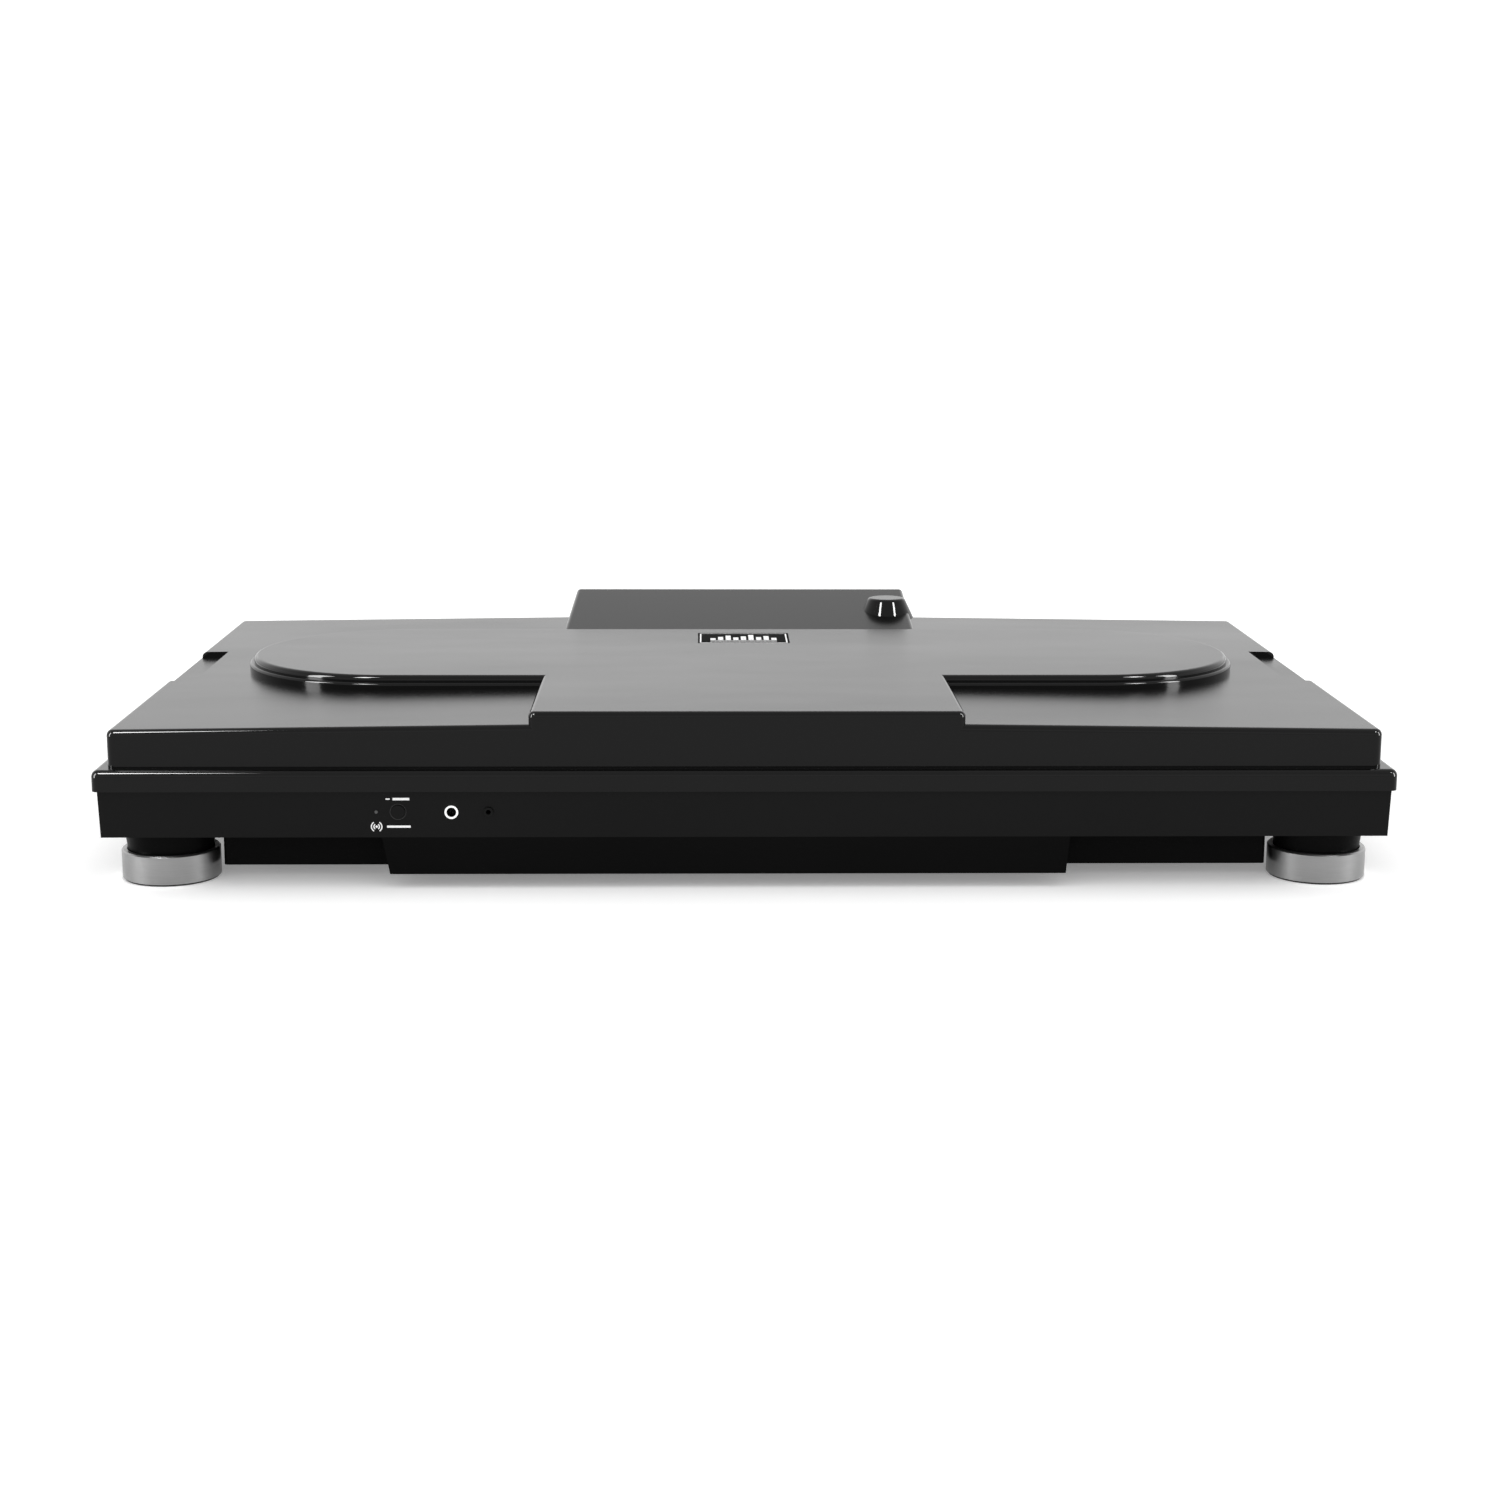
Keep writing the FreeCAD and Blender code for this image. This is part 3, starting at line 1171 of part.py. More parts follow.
def make_main_board():
    body = new_body("main_board")
    low = f"{CASE_FLOOR} + main_board_lift"
    box(body, "board", both("main_board_half_length"), ("-main_board_front", "main_board_back"),
        (low, f"{low} + board_thickness"))
    for index, (x, y) in enumerate([("-60", "40"), ("30", "20"), ("70", "120")]):
        box(body, f"chip_{index}", around(x, "15"), around(y, "15"),
            (f"{low} + board_thickness", f"{low} + board_thickness + 2.5"))
    return body


def make_mixer_board():
    """The board under the mixer, with one potentiometer below each knob's shaft."""
    low = "(panel_top - mixer_board_drop)"
    top = f"({low} + board_thickness)"
    board = part_box("mixer_plate", both("block_half_width"),
                     (f"{knob_y(len(KNOB_ROWS) - 1)} - 20 + 8", "knob_row_start + 12"), (low, top))
    pots = [part_box(f"pot_{index}", around(x, "pot_half"), around(y, "pot_half"),
                     (f"{top} - board_thickness / 2", f"{top} + pot_height - 2"))
            for index, (name, x, y) in enumerate(KNOBS)]
    mixer = fused("mixer_board", [board] + pots)
    mixer.Label = "mixer_board"
    return mixer


def make_power_supply():
    body = new_body("power_supply")
    floor = "(pan_bottom + pan_wall)"
    box(body, "can", both("supply_half_length"), ("pan_half_depth - pan_wall - 20 - supply_depth",
        "pan_half_depth - pan_wall - 20"), (floor, f"{floor} + supply_height"))
    round_edges(body, "can_edges", "2", level_edge(value(f"{floor} + supply_height")))
    return body


# ---------------------------------------------------------------- assembly

keep(make_lower_case())
keep(make_top_panel())
keep(make_base_pan())
keep(make_centre_bay())
keep(make_case_screws())
keep(make_foot_necks())
keep(make_foot_rings())
keep(make_foot_soles())
keep(make_dust_cover())
keep(make_cover_badge())
keep(make_jog_bearings())
for side, edge, sign in DECKS:
    keep(make_jog_wheel(side, sign))
    keep(make_jog_plate(side, sign))
keep(make_screen_housing())
keep(make_screen_glass())
keep(make_display_module())
for name, x, y in KNOBS:
    keep(make_channel_knob(name, x, y))
keep(make_browse_knob())
for name, x, y, axis, travel in FADERS:
    keep(make_fader(name, x, y, axis))
keep(make_fader_tracks())
for name, x, y in DECK_BUTTONS:
    keep(make_deck_button(name, x, y))
keep(make_pad_mats())
keep(make_headphone_jack("phones_jack_large", "-large_jack_x", "large_jack_bore", "large_jack_tube",
                         "large_jack_length", "jack_block"))
keep(make_headphone_jack("phones_jack_small", "-small_jack_x", "small_jack_bore", "small_jack_tube",
                         "small_jack_length", "jack_block - 2"))
keep(make_pairing_button())
keep(make_pairing_light())
keep(make_rear_jack_plate())
keep(make_phono_sockets())
keep(make_power_inlet())
keep(make_power_button())
keep(make_main_board())
keep(make_mixer_board())
keep(make_power_supply())
doc.recompute()

for item in doc.Objects:
    if "Invalid" in item.State or "Error" in item.State:
        raise RuntimeError(f"{item.Name} did not compute: {item.State}")
for piece in NODES:
    if piece.Shape.isNull() or not piece.Shape.isValid():
        raise RuntimeError(f"{piece.Label} has no valid shape")

os.makedirs("parts", exist_ok=True)
for piece in NODES:
    piece.Shape.exportStep(f"parts/{piece.Label}.step")
    bounds = piece.Shape.BoundBox
    print(f"{piece.Label:22s} solids {len(piece.Shape.Solids):2d}  volume {piece.Shape.Volume / 1000:9.2f} cm3  "
          f"x {bounds.XMin:7.1f} {bounds.XMax:7.1f}  y {bounds.YMin:7.1f} {bounds.YMax:7.1f}  "
          f"z {bounds.ZMin:6.1f} {bounds.ZMax:6.1f}")
print(len(NODES), "nodes")
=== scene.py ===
# %% [markdown]
# # A DJ console under its dust cover
#
# The object is a low, wide case on four metal-ringed feet. A glossy black dust cover sits over
# its playing surface. Under the cover are two jog wheels, a four-channel mixer, rubber pads and
# a screen. The solid model comes from a CAD program. This lesson gives it finishes, adds the
# small repeated details, and sets up the light and the camera.

# %% Load the solid model
import json
import math

import bpy
from mathutils import Matrix, Vector

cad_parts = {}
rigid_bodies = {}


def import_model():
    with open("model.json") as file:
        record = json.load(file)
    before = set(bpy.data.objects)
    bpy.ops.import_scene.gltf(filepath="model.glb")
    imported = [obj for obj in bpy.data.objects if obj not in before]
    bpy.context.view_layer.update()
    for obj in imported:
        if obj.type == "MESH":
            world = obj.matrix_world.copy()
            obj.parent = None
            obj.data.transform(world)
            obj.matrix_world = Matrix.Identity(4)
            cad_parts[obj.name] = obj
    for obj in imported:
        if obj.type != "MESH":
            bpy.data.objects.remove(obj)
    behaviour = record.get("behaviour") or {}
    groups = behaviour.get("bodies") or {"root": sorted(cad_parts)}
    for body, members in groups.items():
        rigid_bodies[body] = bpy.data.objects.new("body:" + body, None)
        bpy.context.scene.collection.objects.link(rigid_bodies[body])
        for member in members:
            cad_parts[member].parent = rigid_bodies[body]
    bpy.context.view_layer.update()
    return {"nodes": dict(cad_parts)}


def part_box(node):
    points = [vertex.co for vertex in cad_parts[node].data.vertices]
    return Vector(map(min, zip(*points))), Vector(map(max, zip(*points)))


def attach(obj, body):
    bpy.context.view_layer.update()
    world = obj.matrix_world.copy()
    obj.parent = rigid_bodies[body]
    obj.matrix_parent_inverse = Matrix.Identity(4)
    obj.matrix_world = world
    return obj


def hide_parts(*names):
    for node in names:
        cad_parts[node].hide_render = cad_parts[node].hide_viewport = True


for leftover in list(bpy.data.objects):
    bpy.data.objects.remove(leftover)
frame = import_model()
nodes = frame["nodes"]
MM = 0.001

# %% [markdown]
# ## Writing node trees as sums
#
# A material or a Geometry Nodes tree is a drawing of boxes and wires, and a long sum is hard to
# read there. The small class below wraps one output, so that `1 - mask` or `wave * 0.2` adds the
# Math node that does it. It could also be done by placing each Math node by hand, which takes
# five lines for every sign.

# %% A socket that takes part in sums
class Signal:
    """One output of a node. Each operator adds the Math node that does it."""

    def __init__(self, tree, socket):
        self.tree = tree
        self.socket = socket

    def math(self, operation, *terms):
        node = self.tree.nodes.new("ShaderNodeMath")
        node.operation = operation
        for slot, term in zip(node.inputs, terms):
            plug(self.tree, slot, term)
        return Signal(self.tree, node.outputs[0])

    def __add__(self, other):
        return self.math("ADD", self, other)

    def __radd__(self, other):
        return self.math("ADD", other, self)

    def __sub__(self, other):
        return self.math("SUBTRACT", self, other)

    def __rsub__(self, other):
        return self.math("SUBTRACT", other, self)

    def __mul__(self, other):
        return self.math("MULTIPLY", self, other)

    def __rmul__(self, other):
        return self.math("MULTIPLY", other, self)

    def __truediv__(self, other):
        return self.math("DIVIDE", self, other)

    def __pow__(self, other):
        return self.math("POWER", self, other)

    def __lt__(self, other):
        return self.math("LESS_THAN", self, other)

    def __gt__(self, other):
        return self.math("GREATER_THAN", self, other)

    def __abs__(self):
        return self.math("ABSOLUTE", self)

    def sine(self):
        return self.math("SINE", self)

    def root(self):
        return self.math("SQRT", self)


def plug(tree, slot, value):
    """Links a signal to a socket, or sets a plain value on it."""
    if isinstance(value, Signal):
        tree.links.new(value.socket, slot)
    else:
        slot.default_value = value

# %% [markdown]
# ## One way to add any node
#
# Every other node comes from one method. It takes the node's type, its settings and then its
# sockets. A `Finish` is a material whose patterns read the object's own coordinates, so that
# they stay on a piece when it moves.

# %% A tree that takes any node
class Graph:
    """A node tree, with one method that adds a node of any type."""

    def __init__(self, tree):
        self.tree = tree

    def add(self, kind, settings=None, sockets=None, out=0):
        """Adds a node: its settings first, then its sockets by name or number. Returns one output."""
        node = self.tree.nodes.new(kind)
        for name, setting in (settings or {}).items():
            if name == "stops":
                while len(node.color_ramp.elements) < len(setting):
                    node.color_ramp.elements.new(1.0)
                for element, (position, level) in zip(node.color_ramp.elements, setting):
                    element.position = position
                    element.color = (level, level, level, 1.0)
            else:
                setattr(node, name, setting)
        for name, value in (sockets or {}).items():
            plug(self.tree, node.inputs[name], value)
        return Signal(self.tree, node.outputs[out])

    def parts(self, vector):
        """The X, Y and Z of a vector."""
        first = self.add("ShaderNodeSeparateXYZ", None, {0: vector}, "X")
        outputs = first.socket.node.outputs
        return [Signal(self.tree, outputs[axis]) for axis in "XYZ"]


class Finish(Graph):
    """A material: fixed values on its shader, and patterns on the object's own coordinates."""

    def __init__(self, name, **fixed):
        self.material = bpy.data.materials.new(name)
        self.material.use_nodes = True
        super().__init__(self.material.node_tree)
        self.shader = self.tree.nodes["Principled BSDF"]
        self.place = self.add("ShaderNodeTexCoord", out="Object")
        for label, value in fixed.items():
            self.fix(label.replace("_", " ").title().replace("Ior", "IOR"), value)

    def fix(self, socket, value):
        """Sets or links one socket of the shader."""
        plug(self.tree, self.shader.inputs[socket], value)

    def noise(self, scale, detail=2.0, stretch=(1, 1, 1)):
        where = self.add("ShaderNodeMapping", None, {"Vector": self.place, "Scale": stretch})
        return self.add("ShaderNodeTexNoise", None, {"Vector": where, "Scale": scale, "Detail": detail})

    def mix(self, mask, first, second):
        """The first colour where the mask is 0 and the second where it is 1."""
        return self.add("ShaderNodeMix", {"data_type": "RGBA"}, {0: mask, 6: first, 7: second}, 2)

    def bump(self, height, depth):
        """Relief with its depth in metres."""
        self.fix("Normal", self.add("ShaderNodeBump", None, {"Height": height, "Distance": depth}))


def grey(level, red=0.0):
    """A colour near grey. A positive red makes it warmer, a negative one cooler."""
    return (level * (1 + red), level, level * (1 - red), 1.0)


def paint(finish, *names):
    """Gives CAD nodes a finish in place of their packed colour."""
    for name in names:
        nodes[name].data.materials.clear()
        nodes[name].data.materials.append(finish.material)
    print(finish.material.name, "on", ", ".join(names))

# %% [markdown]
# ## The cover's gloss sheet
#
# The cover is a formed sheet of black plastic, polished all over. Nearly all that is seen of it
# is reflection: bright on the flat tops at a low angle, almost black where it faces the eye. A
# very dark base and a low roughness do that. A haze of wiping marks and dust lies on faces that
# look up, so the roughness follows the surface's own upward direction. One even roughness would
# turn the tops into mirrors.

# %% Gloss sheet
gloss_sheet = Finish("gloss_sheet", specular_ior_level=0.15)
upward = gloss_sheet.parts(gloss_sheet.add("ShaderNodeTexCoord", out="Normal"))[2]
haze = (upward * (upward > 0.0)) ** 10.0
wiping = gloss_sheet.noise(4.0, 4.0, (1, 3, 1))
specks = gloss_sheet.noise(1400.0, 0.0)
gloss_sheet.fix("Roughness", 0.05 + haze * (0.16 + 0.08 * wiping))
gloss_sheet.fix("Base Color", gloss_sheet.mix((specks > 0.72) * haze, grey(0.0022), grey(0.006)))
paint(gloss_sheet, "dust_cover")

# %% [markdown]
# ## The case's moulded plastic
#
# The case is moulded with a very fine spark texture, so it does not shine. Noise at about half a
# millimetre gives the relief. A slower noise keeps the sheen from being even. The same recipe
# serves every other plastic and rubber here, with other numbers, so it is written once.

# %% Moulded plastics
def moulded(name, dark, light, rough, level, grain):
    """Textured plastic: two near shades, a roughness, a shine and the grain's scale."""
    finish = Finish(name, specular_ior_level=level)
    slow = finish.noise(7.0)
    finish.fix("Base Color", finish.mix(slow, dark, light))
    finish.fix("Roughness", rough + 0.12 * slow)
    finish.bump(finish.noise(grain), 0.00002)
    return finish


case_plastic = moulded("case_plastic", grey(0.0034), grey(0.0048), 0.3, 0.08, 2200.0)
# Painted shade: a darker, less shiny copy of the case plastic for the centre bay and the foot necks, which sit low
# under the case.
bay_plastic = moulded("bay_plastic", grey(0.0018), grey(0.0028), 0.34, 0.03, 2200.0)
panel_plastic = moulded("panel_plastic", grey(0.011), grey(0.015), 0.34, 0.35, 1800.0)
knob_rubber = moulded("knob_rubber", grey(0.016), grey(0.022), 0.5, 0.3, 2600.0)
cap_plastic = moulded("cap_plastic", grey(0.02), grey(0.028), 0.28, 0.45, 3000.0)
pad_silicone = moulded("pad_silicone", grey(0.07, -0.04), grey(0.09, -0.04), 0.5, 0.3, 1500.0)
paint(case_plastic, "phones_jack_small", "lower_case", "rear_jack_plate", "pairing_button", "power_button")
paint(bay_plastic, "centre_bay", "foot_necks")
paint(panel_plastic, "top_panel", "screen_housing")
paint(pad_silicone, "pad_mats")
paint(cap_plastic, "power_inlet", "left_cue_button", "left_play_button",
      "right_cue_button", "right_play_button",
      *[name for name in nodes if "fader" in name and "tracks" not in name])
paint(knob_rubber, "foot_soles", *[name for name in nodes if "knob" in name])

# %% [markdown]
# ## Painted and bare metals
#
# The pan is sheet steel with a matt powder coat, whose relief is like orange peel. The rings of
# the feet are brushed along their run. Turned metal has fine rings round its centre: the sine of
# the distance from the centre draws them. The same distance serves both wheels, because the
# console is the same to the left and to the right.

# %% Metals
pan_paint = Finish("pan_paint", specular_ior_level=0.04)
orange_peel = pan_paint.noise(1200.0)
pan_paint.fix("Base Color", pan_paint.mix(pan_paint.noise(8.0), grey(0.0012), grey(0.0022)))
pan_paint.fix("Roughness", 0.5 + 0.1 * orange_peel)
pan_paint.bump(orange_peel, 0.00003)
paint(pan_paint, "base_pan")


def brushed(name, dark, light, rough, stretch):
    """Metal with hairlines that run across the stretched axes."""
    finish = Finish(name, metallic=1.0)
    hairline = finish.noise(70.0, 5.0, stretch)
    finish.fix("Base Color", finish.mix(hairline, dark, light))
    finish.fix("Roughness", rough + 0.16 * hairline)
    finish.bump(hairline, 0.00002)
    return finish


ring_steel = brushed("ring_steel", grey(0.22), grey(0.27), 0.24, (1, 1, 40))
sheet_steel = brushed("sheet_steel", grey(0.4), grey(0.55), 0.3, (1, 30, 1))
jack_ring = Finish("jack_ring")
x, y, z = jack_ring.parts(jack_ring.place)
off_axis = ((x + 0.2133) * (x + 0.2133) + (z - 0.058) * (z - 0.058)).root()
bright_lip = (off_axis > 0.0035) * 1.0
jack_ring.fix("Metallic", bright_lip)
jack_ring.fix("Base Color", jack_ring.mix(bright_lip, grey(0.002), grey(0.9)))
jack_ring.fix("Roughness", 0.12 + 0.05 * jack_ring.noise(900.0))
paint(jack_ring, "phones_jack_large")

# Four sockets stand 24 mm apart. Two nested absolute values fold them onto one centre.
phono_metal = Finish("phono_metal")
x, y, z = phono_metal.parts(phono_metal.place)
nearest = abs(abs(abs(x + 0.076) - 0.024) - 0.012)
from_socket = (nearest * nearest + (z - 0.0585) * (z - 0.0585)).root()
barrel = (from_socket > 0.0031) * 1.0
phono_metal.fix("Metallic", barrel)
phono_metal.fix("Base Color", phono_metal.mix(barrel, grey(0.012), grey(0.7)))
phono_metal.fix("Roughness", 0.2 + 0.08 * phono_metal.noise(900.0))
paint(phono_metal, "phono_sockets")
paint(ring_steel, "foot_rings", "jog_bearings")
paint(sheet_steel, "power_supply", "fader_tracks", "case_screws")

JOG_X, JOG_Y = 0.2795, 0.0085


def from_jog_centre(graph, place):
    """The distance from the nearer wheel's centre."""
    x, y, z = graph.parts(place)
    across, along = abs(x) - JOG_X, y - JOG_Y
    return (across * across + along * along).root()


spun_metal = Finish("spun_metal", metallic=1.0)
reach = from_jog_centre(spun_metal, spun_metal.place)
turning = (reach * (2 * math.pi / 0.0007)).sine() * 0.5 + 0.5
ring_marks = (abs(reach - 0.062) < 0.0006) + (abs(reach - 0.034) < 0.0006)
spun_grey = spun_metal.mix(turning, grey(0.05), grey(0.075))
spun_metal.fix("Base Color", spun_metal.mix(ring_marks, spun_grey, grey(0.5)))
spun_metal.fix("Roughness", 0.26 + 0.1 * turning)
spun_metal.bump(turning, 0.00002)
paint(spun_metal, "left_jog_plate", "right_jog_plate")

# %% [markdown]
# ## Badge, screen, lights and boards
#
# These are small areas, but each has its own surface: a dull black plate, clear dark glass over
# a pixel grid, a milky lens and green solder resist over copper.

# %% Small finishes
badge_black = Finish("badge_black", specular_ior_level=0.01)
badge_grain = badge_black.noise(900.0)
badge_black.fix("Base Color", badge_black.mix(badge_grain, grey(0.0015), grey(0.003)))
badge_black.fix("Roughness", 0.55 + 0.2 * badge_grain)
paint(badge_black, "cover_badge")

screen_glass = Finish("screen_glass", alpha=0.45, specular_ior_level=0.5)
smear = screen_glass.noise(12.0, 4.0)
screen_glass.fix("Base Color", screen_glass.mix(smear, grey(0.004, -0.1), grey(0.008, -0.1)))
screen_glass.fix("Roughness", 0.02 + 0.06 * smear)
paint(screen_glass, "screen_glass")

pixel_grid = Finish("pixel_grid", specular_ior_level=0.2)
x, y, z = pixel_grid.parts(pixel_grid.place)
rows = (y * (2 * math.pi / 0.0009)).sine() * (x * (2 * math.pi / 0.0009)).sine()
pixel_grid.fix("Base Color", pixel_grid.mix((rows > 0.2), grey(0.006), grey(0.016, -0.2)))
pixel_grid.fix("Roughness", 0.35 + 0.1 * rows)
paint(pixel_grid, "display_module")

solder_resist = Finish("solder_resist", specular_ior_level=0.5)
copper = solder_resist.noise(220.0, 0.0, (1, 4, 1)) > 0.55
solder_resist.fix("Base Color", solder_resist.mix(copper, (0.01, 0.09, 0.03, 1), (0.03, 0.17, 0.06, 1)))
solder_resist.fix("Roughness", 0.3 + 0.1 * copper)
solder_resist.bump(copper, 0.00004)
paint(solder_resist, "main_board", "mixer_board")


def lens(name, dim, bright):
    """A milky lens of the kind that covers a small lamp; the lamp is not drawn."""
    finish = Finish(name, specular_ior_level=0.5)
    cloud = finish.noise(500.0)
    finish.fix("Base Color", finish.mix(cloud, dim, bright))
    finish.fix("Roughness", 0.2 + 0.15 * cloud)
    return finish


clear_lens = lens("clear_lens", grey(0.18), grey(0.28))
cue_lens = lens("cue_lens", (0.5, 0.16, 0.02, 1), (0.7, 0.25, 0.03, 1))
play_lens = lens("play_lens", (0.04, 0.36, 0.08, 1), (0.07, 0.5, 0.12, 1))
print_white = lens("print_white", grey(0.72), grey(0.82))
unlit_lens = lens("unlit_lens", grey(0.03), grey(0.05))
paint(unlit_lens, "pairing_light")

# %% [markdown]
# ## Rules for what repeats
#
# Ribs, ticks and slots are one small shape many times over. Copying it by hand would fix the
# numbers into the mesh. A Geometry Nodes tree keeps them as named inputs. The class below makes
# such a tree, and its `make` method turns the result into a plain mesh that rides on a body.

# %% A Geometry Nodes rule
class Rule(Graph):
    """A Geometry Nodes tree with named inputs that ends in Realize Instances and Set Material."""

    def __init__(self, name, **inputs):
        super().__init__(bpy.data.node_groups.new(name, "GeometryNodeTree"))
        face = self.tree.interface
        face.new_socket("Geometry", in_out="OUTPUT", socket_type="NodeSocketGeometry")
        self.sockets = {
            label: face.new_socket(label, in_out="INPUT", socket_type=f"NodeSocket{kind}").identifier
            for label, kind in {"Geometry": "Geometry", **inputs, "Material": "Material"}.items()}
        self.given = self.tree.nodes.new("NodeGroupInput")

    def want(self, label):
        return Signal(self.tree, self.given.outputs[label])

    def end(self, geometry):
        real = self.add("GeometryNodeRealizeInstances", None, {"Geometry": geometry})
        dressed = self.add("GeometryNodeSetMaterial", None, {
            "Geometry": real, "Material": self.want("Material")})
        self.tree.links.new(dressed.socket, self.tree.nodes.new("NodeGroupOutput").inputs[0])

    def make(self, name, body, mesh, finish, **values):
        """Runs the rule on a mesh and returns the plain piece, riding on its body."""
        seed = bpy.data.objects.new(name + "_seed", mesh)
        bpy.context.scene.collection.objects.link(seed)
        modifier = seed.modifiers.new("rule", "NODES")
        modifier.node_group = self.tree
        for label, value in {**values, "Material": finish.material}.items():
            modifier[self.sockets[label]] = value
        bpy.context.view_layer.update()
        grown = bpy.data.meshes.new_from_object(seed.evaluated_get(bpy.context.evaluated_depsgraph_get()))
        bpy.data.objects.remove(seed)
        return place_piece(name, grown, body)


def place_piece(name, mesh, body, finish=None):
    """Puts a finished mesh in the scene as a piece that rides on a body."""
    if finish is not None:
        mesh.materials.append(finish.material)
    mesh.shade_smooth()
    mesh.set_sharp_from_angle(angle=0.6)
    piece = bpy.data.objects.new(name, mesh)
    bpy.context.scene.collection.objects.link(piece)
    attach(piece, body)
    return piece


def solid(name, corners, faces):
    """A mesh from corners in millimetres and faces that list them."""
    mesh = bpy.data.meshes.new(name)
    mesh.from_pydata([Vector(corner) * MM for corner in corners], [], faces)
    mesh.validate()
    return mesh


BRICK_FACES = [(0, 3, 2, 1), (4, 5, 6, 7), (0, 1, 5, 4), (1, 2, 6, 5), (2, 3, 7, 6), (3, 0, 4, 7)]


def brick(name, low, high):
    """A small block between two corners, in millimetres."""
    (a, b, c), (d, e, f) = low, high
    corners = [(a, b, c), (d, b, c), (d, e, c), (a, e, c), (a, b, f), (d, b, f), (d, e, f), (a, e, f)]
    return solid(name, corners, BRICK_FACES)

# %% Rule: copies in a row or round a pivot
copies = Rule("copies", Count="Int", Pivot="Vector", Step="Vector", Turn="Float", Start="Float")
stations = copies.add("GeometryNodeMeshLine", None, {
    "Count": copies.want("Count"), "Start Location": copies.want("Pivot"), "Offset": copies.want("Step")})
angle = copies.want("Start") + copies.want("Turn") * copies.add("GeometryNodeInputIndex")
turned_to = copies.add("ShaderNodeCombineXYZ", None, {"Z": angle})
copies.end(copies.add("GeometryNodeInstanceOnPoints", None, {
    "Points": stations, "Instance": copies.want("Geometry"), "Rotation": turned_to}))
print("copies takes", list(copies.sockets))

# %% [markdown]
# ## Ribbed knobs
#
# Each rubber knob has upright ribs, so that fingers grip it, and a white pointer in its groove.
# The CAD knob keeps its shape. One tapered rib is drawn beside a pivot, and the rule turns
# copies of it about the knob's axis.

# %% Ribs and pointers
def knob_parts(name, count):
    """Ribs and a pointer for one knob, from the size of its CAD node."""
    low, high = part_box(name)
    centre = (low + high) / 2
    pivot = (centre.x, centre.y, 0.0)
    radius = (high.x - low.x) / 2 / MM
    top = high.z / MM
    height = 9.0 if name == "browse_knob" else 15.0
    upper = radius - (1.0 if name == "browse_knob" else 1.6)
    inner, outer, half = -0.5, 0.3, 0.42
    foot, crown = top - height, top - 1.0
    rib = solid("rib", [
        (radius + inner, -half, foot), (radius + outer, -half * 0.6, foot), (radius + outer, half * 0.6, foot),
        (radius + inner, half, foot), (upper + inner, -half, crown), (upper + outer, -half * 0.6, crown),
        (upper + outer, half * 0.6, crown), (upper + inner, half, crown)], BRICK_FACES)
    copies.make(name + "_ribs", name, rib, knob_rubber, Count=count, Pivot=pivot, Turn=2 * math.pi / count)
    pointer = brick("pointer", (-0.5, upper * 0.36, top - 0.7), (0.5, upper - 0.6, top - 0.1))
    copies.make(name + "_pointer", name, pointer, print_white, Count=1, Pivot=pivot)


knobs = sorted(name for name in nodes if "knob" in name)
for knob in knobs:
    knob_parts(knob, 24 if knob == "browse_knob" else 16)
print(len(knobs), "knobs ribbed")

# %% [markdown]
# ## Scales printed round the knobs
#
# A scale of short lines shows how far each knob is turned. The rule builds one scale from a
# block at a radius, then puts it at every point of a mesh that holds the knobs' places. So all
# the scales are one piece on the console.

# %% Rule: a scale at every place
scales = Rule("scales", Count="Int", Radius="Float", Tick="Vector", Turn="Float", Start="Float",
              Height="Float")
tick = scales.add("GeometryNodeMeshCube", None, {"Size": scales.want("Tick")})
reach_out = scales.add("ShaderNodeCombineXYZ", None, {"X": scales.want("Radius"), "Z": scales.want("Height")})
tick_out = scales.add("GeometryNodeTransform", None, {"Geometry": tick, "Translation": reach_out})
spots = scales.add("GeometryNodeMeshLine", None, {"Count": scales.want("Count"), "Offset": (0.0, 0.0, 0.0)})
tick_angle = scales.want("Start") + scales.want("Turn") * scales.add("GeometryNodeInputIndex")
tick_turn = scales.add("ShaderNodeCombineXYZ", None, {"Z": tick_angle})
one_scale = scales.add("GeometryNodeInstanceOnPoints", None, {
    "Points": spots, "Instance": tick_out, "Rotation": tick_turn})
scales.end(scales.add("GeometryNodeInstanceOnPoints", None, {
    "Points": scales.want("Geometry"), "Instance": one_scale}))

panel_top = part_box("top_panel")[1].z
places = bpy.data.meshes.new("places")
places.from_pydata([(sum(c.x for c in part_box(name)) / 2, sum(c.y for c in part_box(name)) / 2, 0)
                    for name in knobs if name != "browse_knob"], [], [])
scales.make("knob_scales", "console", places, print_white, Count=11, Radius=0.0112, Tick=(0.0016, 0.0004, 0.0001),
            Turn=-math.radians(30), Start=math.radians(240), Height=panel_top + 0.00004)

# %% [markdown]
# ## Fader caps and their scales
#
# A fader cap has a white line across its middle and ridges to either side, so that a fingertip
# holds it. The line and the ridges ride on the cap. The scale beside the slot stays on the panel.

